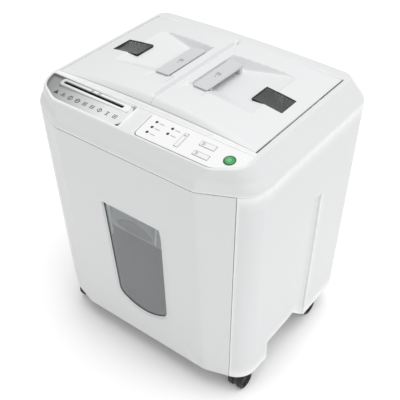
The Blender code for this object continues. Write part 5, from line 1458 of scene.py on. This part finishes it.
    def build_ribs(self) -> None:
        """Makes pale upright bars behind the pane that paint the vertical reflection streaks in it."""
        y1 = self.window[3]
        bm = bmesh.new()
        # Painted reflection: the pale bars stand for light streaks reflected in the pane.
        for i, x in enumerate((0.160, 0.166, 0.173, 0.177, 0.185, 0.191, 0.197, 0.2005)):
            deep = 0.010 + 0.006 * (i % 3)
            top = self.dome_z(x, y1) - 0.0045
            low, high = (x - 0.0010, y1 - 0.004, top - deep), (x + 0.0010, y1 - 0.001, top)
            if self.side is Side.LEFT:
                low, high = (-high[0], *low[1:]), (-low[0], *high[1:])
            rib = box_of(low, high)
            bm.from_mesh(rib)
            bpy.data.meshes.remove(rib)
        ribs = Workpiece(f"{self.body}_window_ribs", mesh_of(bm, "ribs"))
        ribs.finish(self.palette["lid_white"], self.body, "white_housing")

    def build_handle(self) -> None:
        """Makes the grip bar with its legs, and the mark on it."""
        x0, x1, y0, y1 = self.handle
        plan = rounded_box((x0 + 0.0008, y0 + 0.0008), (x1, y1 - 0.0006), 0.0048)

        def level(x: float, y: float) -> float:
            """The grip's upper surface."""
            return self.dome_z(x, y) - 0.0002

        rings = []
        section = [(0.0052, 0.0012), (0.0046, 0.0003), (0.0040, 0.0)]
        section += [(0.0008, 0.0), (0.0002, 0.0003), (0.0, 0.0009)]
        for depth, inset in section:
            ring = []
            for x, y in plan:
                px = x0 + (x1 - x0) / 2 + (x - (x0 + x1) / 2) * (1 - inset / 0.017)
                py = (y0 + y1) / 2 + (y - (y0 + y1) / 2) * (1 - inset / 0.06)
                slim = depth * (0.42 + 0.58 * ease(py, y0, y0 + 0.022)) if depth > 0.001 else depth
                ring.append((px, py, level(px, py) - slim))
            rings.append(ring)
        bar = Workpiece(f"{self.body}_grip", mirrored(loft(rings, "grip"), self.side))
        for low_y, high_y in ((y0 + 0.013, y0 + 0.021), (y1 - 0.012, y1 - 0.003)):
            foot = rounded_box((x0 + 0.002, low_y), (x1 - 0.0012, high_y), 0.002)
            base = [(x, y, self.top(x, y) + 0.0004) for x, y in foot]
            neck = [(x, y, level(x, y) - 0.004) for x, y in foot]
            bar.join(mirrored(loft([base, neck], "leg"), self.side))
        bar.soften(0.0005, degrees=50)
        bar.finish(self.palette["handle_grey"], self.body, "handle_grey", [f"{self.body}_handle"])
        sign = self.side.value
        middle = ((x0 + x1) / 2, (y0 + y1) / 2 - 0.004)
        tilt = Matrix.Rotation(sign * math.atan(2 * self.dome * middle[0] / self.form.lid_edge_x**2), 4, "Y")
        spots = []
        for kind, shift, scale in ((5, (0.0, 0.0045), 1.5), (0, (0.0, -0.0065), 0.55)):
            x, y = middle[0] + shift[0], middle[1] + shift[1]
            spots.append((kind, Matrix.Translation((sign * x, y, level(x, y) + 0.00005)) @ tilt, scale))
        self.marks.lay(f"{self.body}_grip_mark", spots, "faint_ink", self.body, "handle_grey")


# ---------------------------------------------------------------- cabinet


@dataclass
class SidePanel:
    """A side of the cabinet: rounded corners, scooped middle and the arch between the feet."""

    form: HousingForm
    palette: Palette
    side: Side
    seam_gap: float = 0.001
    arch: tuple[float, float, float, float] = (-0.084, 0.020, 0.071, 0.113)
    scoop_front: float = -0.006
    scoop_back: float = 0.074
    scoop_top: float = 0.422
    scoop_depth: float = 0.006

    def scoop(self, y: float, z: float) -> float:
        """Depth of the scoop at a point of the side."""
        rising = ramp(y, self.scoop_front, self.scoop_back) ** 1.4
        behind = 1 - ease(y, self.scoop_back - 0.0025, self.scoop_back + 0.0012)
        above = 1 - ease(z, self.scoop_top - 0.0025, self.scoop_top + 0.001)
        return self.scoop_depth * rising * behind * above

    def row(self, z: float) -> list[Flat]:
        """The panel's outline at a height, from the door's edge to the back."""
        form = self.form
        edge = form.door_edge(z) + self.seam_gap / 2
        plan = form.half_plan(z)
        front = [point for point in plan if point[1] < self.arch[0] - 0.004]
        start = next(i for i, point in enumerate(front) if point[0] > edge)
        a, b = front[start - 1], front[start]
        share = (edge - a[0]) / (b[0] - a[0])
        first = (edge, a[1] + (b[1] - a[1]) * share)
        corner = resample([first] + front[start:] + [(form.side(z), self.arch[0] - 0.003)], 26)
        stations = [self.arch[0]] + spread(self.arch[0] + 0.010, self.scoop_front, 6)
        stations += spread(self.scoop_front, self.scoop_back - 0.004, 15)[1:]
        stations += spread(self.scoop_back - 0.0025, self.scoop_back + 0.0012, 6)
        stations = sorted(set(round(y, 6) for y in stations))
        middle = [(form.side(z) - self.scoop(y, z), y) for y in stations]
        rear_start = form.back(z) - form.rear_radius
        middle += [(form.side(z), y) for y in spread(self.scoop_back + 0.006, rear_start - 0.004, 7)]
        centre = (form.side(z) - form.rear_radius, rear_start)
        rear = arc_of(centre, form.rear_radius, 0.0, math.pi / 2, 9)
        return corner + middle + rear + [(form.half_width - 0.042, form.back(z))]

    def build(self) -> None:
        """Makes the panel."""
        form = self.form
        levels = spread(form.bottom_z, self.scoop_top - 0.012, 18)
        levels += spread(self.scoop_top - 0.0025, self.scoop_top + 0.001, 6)
        levels += spread(self.scoop_top + 0.010, form.seam_z + 0.0003, 8)
        rows = [[(x, y, z) for x, y in self.row(z)] for z in levels]
        panel = Workpiece(f"{self.side.label}_side_shell", mirrored(sheet_over(rows), self.side))
        panel.wall(form.wall)
        front, slope, rear, top = self.arch
        below = form.bottom_z - 0.02
        arch = [(front, below), (front, top), (slope, top), (rear, form.bottom_z), (rear, below)]
        arch = round_corners(arch, [0.0, 0.004, 0.004, 0.0, 0.0])
        x0, x1 = sorted((self.side.value * 0.20, self.side.value * 0.30))
        panel.cut(loft([[(x, y, z) for y, z in arch] for x in (x0, x1)], "arch"))
        panel.soften(0.0006, degrees=40)
        node = f"{self.side.label}_side_panel"
        panel.finish(self.palette["housing_white"], "housing", "white_housing", [node])


@dataclass
class RearPanel:
    """The back of the cabinet, with rows of vent slots and the openings for the inlet and the switch."""

    form: HousingForm
    palette: Palette

    def build(self) -> None:
        """Makes the panel with its vent slots and its electrical openings."""
        form = self.form
        half = form.half_width - 0.042 - 0.001
        low_z, high_z = form.bottom_z, form.seam_z - 0.0002
        rings = []
        for z in (low_z, high_z):
            y = form.back(z)
            rings.append([(-half, y - form.wall, z), (half, y - form.wall, z), (half, y, z), (-half, y, z)])
        panel = Workpiece("rear_shell", loft(rings, "rear_shell"))
        for node in ("mains_inlet", "mains_switch"):
            low, high = (Vector(corner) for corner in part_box(node))
            gap = 0.0003 if node == "mains_inlet" else 0.0013
            grow = Vector((gap, 0.02, gap))
            panel.cut(box_of(low - grow, high + grow))
        panel.cut(vent_slots(form))
        panel.soften(0.0005)
        panel.finish(self.palette["housing_white"], "housing", "white_housing", ["rear_panel"])


def vent_slots(form: HousingForm) -> bpy.types.Mesh:
    """The tool that cuts the rear vent: a repeated rounded slot, laid out by geometry nodes.

    Args:
        form: the housing's form, for where the back is.

    Returns:
        One mesh with every slot in place.
    """
    tree = bpy.data.node_groups.new("vent_layout", "GeometryNodeTree")
    tree.interface.new_socket(name="Geometry", in_out="INPUT", socket_type="NodeSocketGeometry")
    columns = tree.interface.new_socket(name="Columns", in_out="INPUT", socket_type="NodeSocketInt")
    rows = tree.interface.new_socket(name="Rows", in_out="INPUT", socket_type="NodeSocketInt")
    width = tree.interface.new_socket(name="Width", in_out="INPUT", socket_type="NodeSocketFloat")
    height = tree.interface.new_socket(name="Height", in_out="INPUT", socket_type="NodeSocketFloat")
    tree.interface.new_socket(name="Geometry", in_out="OUTPUT", socket_type="NodeSocketGeometry")
    nodes, links = tree.nodes, tree.links
    source, sink = nodes.new("NodeGroupInput"), nodes.new("NodeGroupOutput")
    lattice = nodes.new("GeometryNodeMeshGrid")
    scatter = nodes.new("GeometryNodeInstanceOnPoints")
    real = nodes.new("GeometryNodeRealizeInstances")
    coat = nodes.new("GeometryNodeSetMaterial")
    links.new(source.outputs["Columns"], lattice.inputs["Vertices X"])
    links.new(source.outputs["Rows"], lattice.inputs["Vertices Y"])
    links.new(source.outputs["Width"], lattice.inputs["Size X"])
    links.new(source.outputs["Height"], lattice.inputs["Size Y"])
    links.new(lattice.outputs["Mesh"], scatter.inputs["Points"])
    links.new(source.outputs["Geometry"], scatter.inputs["Instance"])
    links.new(scatter.outputs["Instances"], real.inputs["Geometry"])
    links.new(real.outputs["Geometry"], coat.inputs["Geometry"])
    links.new(coat.outputs["Geometry"], sink.inputs["Geometry"])
    slot = prism(rounded_box((-0.0018, -0.016), (0.0018, 0.016), 0.0017, 3), -0.02, 0.02)
    tool = bpy.data.objects.new("vent_tool", slot)
    bpy.context.scene.collection.objects.link(tool)
    layout = tool.modifiers.new("layout", "NODES")
    layout.node_group = tree
    for socket, value in ((columns, 19), (rows, 2), (width, 0.162), (height, 0.044)):
        layout[socket.identifier] = value
    graph = bpy.context.evaluated_depsgraph_get()
    made = bpy.data.meshes.new_from_object(tool.evaluated_get(graph), depsgraph=graph)
    tool.modifiers.clear()
    bpy.data.objects.remove(tool)
    z = 0.475
    made.transform(Matrix.Translation((0.0, form.back(z), z)) @ Matrix.Rotation(math.radians(90), 4, "X"))
    made.materials.clear()
    return made


@dataclass
class Bin:
    """The pull-out bin: door with its scooped window recess, tinted pane, and the tub behind."""

    form: HousingForm
    palette: Palette
    window_top: float = 0.425
    window_bottom: float = 0.132
    top_half: float = 0.073
    bottom_half: float = 0.066
    sag: float = 0.026
    recess: float = 0.008
    panel_half: float = 0.150
    pane: float = 0.003

    def window_plan(self, grow: float, grow_top: float, grow_below: float) -> list[Flat]:
        """The window's outline in x and z, grown by different amounts.

        Args:
            grow: growth to the sides.
            grow_top: growth above.
            grow_below: growth below.

        Returns:
            A closed outline with rounded lower corners.
        """
        top, low = self.window_top + grow_top, self.window_bottom - grow_below
        half_top, half_low = self.top_half + grow, self.bottom_half + grow
        corners = [(half_top, top), (-half_top, top), (-half_low, low + self.sag)]
        across = spread(-half_low * 0.8, half_low * 0.8, 9)
        arc = [(x, low + self.sag * (abs(x) / half_low) ** 2.0) for x in across]
        corners += arc + [(half_low, low + self.sag)]
        rounding = [0.0012 + grow * 0.25] * 2 + [0.014 + grow * 0.3] + [0.0] * len(arc) + [0.014 + grow * 0.3]
        return round_corners(corners, rounding, 6)

    def reach(self, outline: Sequence[Flat], centre: Flat, direction: Flat) -> float:
        """Distance from a centre to an outline along a direction."""
        best = 0.0
        for (ax, az), (bx, bz) in zip(outline, [*outline[1:], outline[0]]):
            ex, ez = bx - ax, bz - az
            cross = direction[0] * ez - direction[1] * ex
            if abs(cross) < 1e-12:
                continue
            rel = (ax - centre[0], az - centre[1])
            along = (rel[0] * ez - rel[1] * ex) / cross
            share = (rel[0] * direction[1] - rel[1] * direction[0]) / cross
            if along > 0 and -1e-6 <= share <= 1 + 1e-6:
                best = max(best, along)
        return best

    def door_skin(self) -> bpy.types.Mesh:
        """The door's outer surface: rings round the window in the middle, a wing to each side."""
        form = self.form
        half = self.panel_half
        low_z, high_z = form.bottom_z, form.seam_z - 0.0010
        heights = spread(low_z, high_z, 60)
        border = [(x, low_z) for x in spread(-half, half, 36)[:-1]] + [(half, z) for z in heights[:-1]]
        border += [(x, high_z) for x in spread(half, -half, 36)[:-1]]
        border += [(-half, z) for z in reversed(heights[1:])]
        centre = (0.0, 0.290)
        glass = self.window_plan(0.0, 0.0, 0.0)
        rim = self.window_plan(0.022, 0.003, 0.028)
        shares = [0.0, 0.03, 0.06, 0.10, 0.13, 0.16, 0.22, 0.3, 0.42, 0.56, 0.72, 0.88, 1.0]
        rows: list[list[Spot]] = [[] for _ in range(len(shares) + 3)]
        for x, z in border:
            direction = (x - centre[0], z - centre[1])
            length = math.hypot(*direction)
            unit = (direction[0] / length, direction[1] / length)
            start, end = self.reach(glass, centre, unit), self.reach(rim, centre, unit)
            for k, share in enumerate(shares):
                at = start + (end - start) * share
                px, pz = centre[0] + unit[0] * at, centre[1] + unit[1] * at
                chamfer = 0.40 * (1 - ramp(share, 0.03, 0.15))
                sweep = 0.60 * (1 - ease(share, -0.5, 1.0)) / (1 - ease(0.0, -0.5, 1.0))
                depth = self.recess * (chamfer + sweep)
                rows[k].append((px, form.front(pz) + depth, pz))
            for k, share in ((len(shares), 0.3), (len(shares) + 1, 0.65), (len(shares) + 2, 1.0)):
                at = end + (length - end) * share
                px, pz = centre[0] + unit[0] * at, centre[1] + unit[1] * at
                rows[k].append((px, form.front(pz), pz))
        bm = bmesh.new()
        middle = sheet_over(rows, around=True, name="door_middle")
        bm.from_mesh(middle)
        for side in Side:
            wing_rows = [[(side.value * x, y, z) for x, y in self.wing(z)] for z in heights]
            if side is Side.LEFT:
                wing_rows = [list(reversed(row)) for row in wing_rows]
            bm.from_mesh(sheet_over(wing_rows, name="door_wing"))
        bmesh.ops.remove_doubles(bm, verts=bm.verts, dist=2e-6)
        bmesh.ops.recalc_face_normals(bm, faces=bm.faces)
        middles = ((face, face.calc_center_median()) for face in bm.faces)
        probe = next(face for face, middle in middles if abs(middle.x) < 0.1 and middle.z > 0.5)
        if probe.normal.y > 0:
            bmesh.ops.reverse_faces(bm, faces=bm.faces)
        mesh = bpy.data.meshes.new("bin_door")
        bm.to_mesh(mesh)
        bm.free()
        return mesh

    def wing(self, z: float) -> list[Flat]:
        """The door's outline at a height, from the flat middle to its edge."""
        form = self.form
        edge = form.door_edge(z) - 0.0005
        plan = [point for point in form.half_plan(z) if point[1] < -0.05]
        start = next(i for i, point in enumerate(plan) if point[0] > self.panel_half + 0.001)
        stop = next(i for i, point in enumerate(plan) if point[0] > edge)
        a, b = plan[stop - 1], plan[stop]
        share = (edge - a[0]) / (b[0] - a[0])
        last = (edge, a[1] + (b[1] - a[1]) * share)
        line = [(self.panel_half, form.front(z))] + plan[start:stop] + [last]
        return resample(line, 26)

    def build(self) -> None:
        """Makes the door, pane and tub."""
        form = self.form
        door = Workpiece("bin_door", self.door_skin())
        door.wall(form.wall)
        door.soften(0.0007, degrees=40)
        door.finish(self.palette["housing_white"], "bin", "white_housing", ["bin_front"])
        edge = self.window_plan(0.0016, 0.0016, 0.0016)
        gasket = Workpiece("bin_window_gasket", self.slab(edge, self.recess + 0.0003, self.recess + 0.0012))
        gasket.cut(self.slab(self.window_plan(-0.0010, -0.0010, -0.0010), 0.0, 0.03))
        gasket.finish(self.palette["black_plastic"], "bin", "black_plastic")
        plan = self.window_plan(0.0012, 0.0012, 0.0012)
        rings = []
        for depth in (self.recess + 0.0013, self.recess + 0.0013 + self.pane):
            rings.append([(x, form.front(z) + depth, z) for x, z in plan])
        pane = Workpiece("bin_window_pane", loft(rings, "bin_window_pane"))
        pane.finish(self.palette["bin_window_clear"], "bin", "bin_window_clear", ["bin_window"])
        self.build_tub()

    def slab(self, plan: Sequence[Flat], near: float, far: float) -> bpy.types.Mesh:
        """A slab over an outline in x and z, between two depths behind the door's leaning face."""
        return loft([[(x, self.form.front(z) + depth, z) for x, z in plan] for depth in (near, far)], "slab")

    def build_tub(self) -> None:
        """Makes the tub with its opening behind the pane."""
        form = self.form
        low, high = (Vector(corner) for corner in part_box("bin_tub"))
        lean = 0.0133

        def plan(z: float, wall: float) -> list[Flat]:
            """The tub's outline at a height, drawn in by a wall."""
            half = high.x - wall
            shallow = form.flat_half - 0.02 - wall
            front = form.front(z) + lean + wall
            corners = [(-shallow, front), (shallow, front), (half, front + 0.026), (half, high.y - wall)]
            corners += [(-half, high.y - wall), (-half, front + 0.026)]
            return round_corners(corners, [0.012, 0.012, 0.014, 0.018, 0.018, 0.014])

        rings = [[(x, y, z) for x, y in plan(z, 0.0)] for z in (low.z, high.z)]
        tub = Workpiece("bin_tub_shell", loft(rings, "tub"))
        floor = low.z + 0.0025
        tub.cut(loft([[(x, y, z) for x, y in plan(z, 0.0025)] for z in (floor, high.z + 0.02)], "hollow"))
        tub.cut(self.slab(self.window_plan(-0.002, -0.020, -0.002), 0.005, 0.040))
        tub.soften(0.0006, degrees=40)
        tub.finish(self.palette["tub_grey"], "bin", "tray_grey", ["bin_tub"])
        near, far = 0.0125, 0.0131
        hand_hold_outline = [(-0.051, 0.379), (-0.030, 0.393), (-0.006, 0.400), (0.015, 0.398), (0.033, 0.391)]
        hand_hold_outline += [(0.048, 0.377), (0.047, 0.368), (0.020, 0.366), (-0.017, 0.365), (-0.040, 0.370)]
        hand_hold_outline = round_corners(hand_hold_outline, [0.003] * len(hand_hold_outline))
        stay_outline = [(0.0505, 0.362), (0.0550, 0.362), (0.0640, 0.4245), (0.0595, 0.4245)]
        rail_outline = [(-0.0605, 0.3615), (0.0690, 0.3615), (0.0715, 0.4245), (-0.0605, 0.4245)]
        rail = Workpiece("bin_tub_front_rail", self.slab(rail_outline, near, far))
        rail.cut(self.slab(hand_hold_outline, 0.0, 0.02), self.slab(stay_outline, 0.0, 0.02))
        rail.finish(self.palette["tray_grey"], "bin", "tray_grey")
        # Painted shade: a black slab just behind the hand-hold cut in the rail stands for the shade seen
        # through that opening.
        grip = Workpiece("bin_tub_rim_grip", self.slab(hand_hold_outline, near + 0.0001, far))
        grip.finish(self.palette["black_plastic"], "bin", "black_plastic")
        flange_outline = [(-0.0690, 0.335), (-0.0612, 0.335), (-0.0612, 0.4245), (-0.0722, 0.4245)]
        flanges = Workpiece("bin_window_flanges", self.slab(flange_outline, near, far))
        flanges.finish(self.palette["tub_grey"], "bin", "tray_grey")
        streak = Workpiece("bin_window_stay", self.slab(stay_outline, near, far))
        streak.finish(self.palette["housing_white"], "bin", "white_housing")


# ---------------------------------------------------------------- casters


@dataclass
class Caster:
    """A black twin-wheel caster: fork with stem, and two dished discs on one hub."""

    palette: Palette
    corner: str

    def build(self) -> None:
        """Makes the fork and the wheel."""
        fork, wheel = f"caster_{self.corner}_fork", f"caster_{self.corner}_wheel"
        low, high = (Vector(corner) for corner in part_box(wheel))
        middle = (low + high) / 2
        radius, half = (high.z - low.z) / 2, (high.x - low.x) / 2
        gap = 0.005
        profile: list[Flat] = [(0, half - 0.0045), (0.006, half - 0.0045), (0.0075, half - 0.006)]
        profile += [(radius - 0.009, half - 0.005), (radius - 0.0065, half - 0.0005)]
        profile += [(radius - 0.004, half), (radius - 0.0015, half - 0.0008)]
        profile += [(radius, half - 0.003), (radius, gap + 0.0012), (radius - 0.0012, gap), (0.0045, gap)]
        whole = profile + [(r, -h) for r, h in reversed(profile)]
        discs = Workpiece(wheel + "_discs", revolve(whole, facing(tuple(middle), (1, 0, 0)), 40))
        discs.finish(self.palette["tread_black"], wheel, "black_plastic", [wheel])
        self.build_fork(fork, middle, radius, gap)

    def build_fork(self, fork: str, middle: Vector, radius: float, gap: float) -> None:
        """Makes the rib between the discs, the neck above it and the stem."""
        low, high = (Vector(corner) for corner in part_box(fork))
        stem_x, stem_y = (low.x + high.x) / 2, middle.y - 0.012
        half = gap - 0.0006
        place = facing((middle.x, middle.y, middle.z), (1, 0, 0))
        bore, reach = 0.0051, radius - 0.003
        rib = revolve([(bore, -half), (reach, -half), (reach, half), (bore, half)], place, 40)
        piece = Workpiece(fork + "_hood", rib)
        neck_plan = rounded_box((stem_x - half, stem_y - 0.0055), (stem_x + half, middle.y + 0.006), 0.002)
        piece.join(prism(neck_plan, middle.z + 0.010, 0.0515))
        collar = [(0, 0.0480), (0.0098, 0.0480), (0.0110, 0.0492), (0.0110, 0.0600)]
        collar += [(0.0085, 0.0648), (0.0055, 0.0650), (0.0055, 0.0695), (0, 0.0695)]
        piece.join(revolve(collar, Matrix.Translation((stem_x, stem_y, 0)), 32))
        piece.soften(0.0005)
        piece.finish(self.palette["black_plastic"], fork, "black_plastic", [fork])


# ---------------------------------------------------------------- what the frame's own nodes wear


def dress_nodes(palette: Palette) -> None:
    """Gives every node that keeps its own shape its detailed finish."""
    wear = {
        "steel": ["left_hinge_rod", "right_hinge_rod", "rear_screw_left", "rear_screw_right",
                  "left_head_plate", "right_head_plate", "front_crossbar", "rear_crossbar",
                  "front_cutter", "rear_cutter", "feed_shaft", "reduction_axle"],
        "motor_steel": ["motor"],
        "black_plastic": ["base_plate", "left_bin_rail", "right_bin_rail", "mains_inlet", "mains_switch"],
        "tray_grey": ["left_paper_tray", "right_paper_tray"],
        "gear_nylon": ["front_cutter_gear", "rear_cutter_gear", "feed_gear", "reduction_gear",
                       "motor_pinion"],
        "feed_rubber": ["left_feed_roller", "right_feed_roller"],
        "board_green": ["control_board", "power_board"],
        "switch_amber": ["bin_microswitch"],
    }
    for name, nodes in wear.items():
        for node in nodes:
            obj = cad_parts[node]
            for slot in obj.material_slots:
                slot.material = palette[name]
    LOG.info("dressed %d nodes", sum(len(nodes) for nodes in wear.values()))


# ---------------------------------------------------------------- stage


@dataclass(frozen=True)
class SoftSun:
    """A wide, even light from one direction, like a large diffuser far away."""

    name: str
    direction: Spot
    strength: float
    spread_degrees: float

    def build(self) -> None:
        """Sets the light up."""
        data = bpy.data.lights.new(self.name, "SUN")
        data.energy = self.strength
        data.angle = math.radians(self.spread_degrees)
        lamp = bpy.data.objects.new(self.name, data)
        lamp.location = Vector(self.direction) * 3.0
        lamp.rotation_euler = (-Vector(self.direction)).to_track_quat("-Z", "Y").to_euler()
        bpy.context.scene.collection.objects.link(lamp)


@dataclass(frozen=True)
class Studio:
    """The pale floor, the soft lights and the camera."""

    camera_place: Spot = (0.7654, -0.9993, 1.3515)
    camera_turn: Spot = (50.78, 0.0, 37.0)
    lens: float = 66.6

    def build(self) -> None:
        """Sets the stage."""
        scene = bpy.context.scene
        scene.view_settings.view_transform = "Standard"
        scene.view_settings.look = "None"
        data = bpy.data.cameras.new("camera")
        data.lens = self.lens
        data.sensor_width = 36.0
        camera = bpy.data.objects.new("camera", data)
        camera.location = self.camera_place
        camera.rotation_euler = [math.radians(angle) for angle in self.camera_turn]
        scene.collection.objects.link(camera)
        scene.camera = camera
        self.build_floor()
        world = bpy.data.worlds.new("studio")
        world.use_nodes = True
        sky = world.node_tree.nodes["Background"]
        sky.inputs["Color"].default_value = (1.0, 1.0, 1.0, 1.0)
        sky.inputs["Strength"].default_value = 0.46
        scene.world = world
        for light in (
            SoftSun("key", (0.50, -0.05, 0.86), 1.25, 70.0),
            SoftSun("zenith", (0.0, 0.10, 1.0), 1.10, 60.0),
        ):
            light.build()

    def build_floor(self) -> None:
        """A wide pale floor."""
        floor = bpy.data.objects.new("floor", box_of((-6.0, -6.0, -0.02), (6.0, 6.0, 0.0)))
        bpy.context.scene.collection.objects.link(floor)
        pale, _, shader = new_finish("floor_pale")
        shader.inputs["Base Color"].default_value = (0.97, 0.97, 0.97, 1.0)
        shader.inputs["Roughness"].default_value = 0.6
        shader.inputs["Emission Color"].default_value = (1.0, 1.0, 1.0, 1.0)
        shader.inputs["Emission Strength"].default_value = 0.10
        floor.data.materials.append(pale)


def main() -> None:
    """Builds the stage and every sub-assembly in order."""
    logging.basicConfig(level=logging.INFO, format="%(message)s")
    form = HousingForm()
    palette = Palette()
    Studio().build()
    marks = PrintedMarks(form, palette)
    cover = TopCover(form, palette)
    cover.build()
    DiscSlot(form, palette, marks, cover).build()
    ControlPanel(form, palette, cover, marks).build()
    for side in Side:
        Lid(form, palette, marks, side).build()
        SidePanel(form, palette, side).build()
    RearPanel(form, palette).build()
    Bin(form, palette).build()
    for corner in ("front_left", "front_right", "rear_left", "rear_right"):
        Caster(palette, corner).build()
    dress_nodes(palette)


if __name__ == "__main__":
    main()
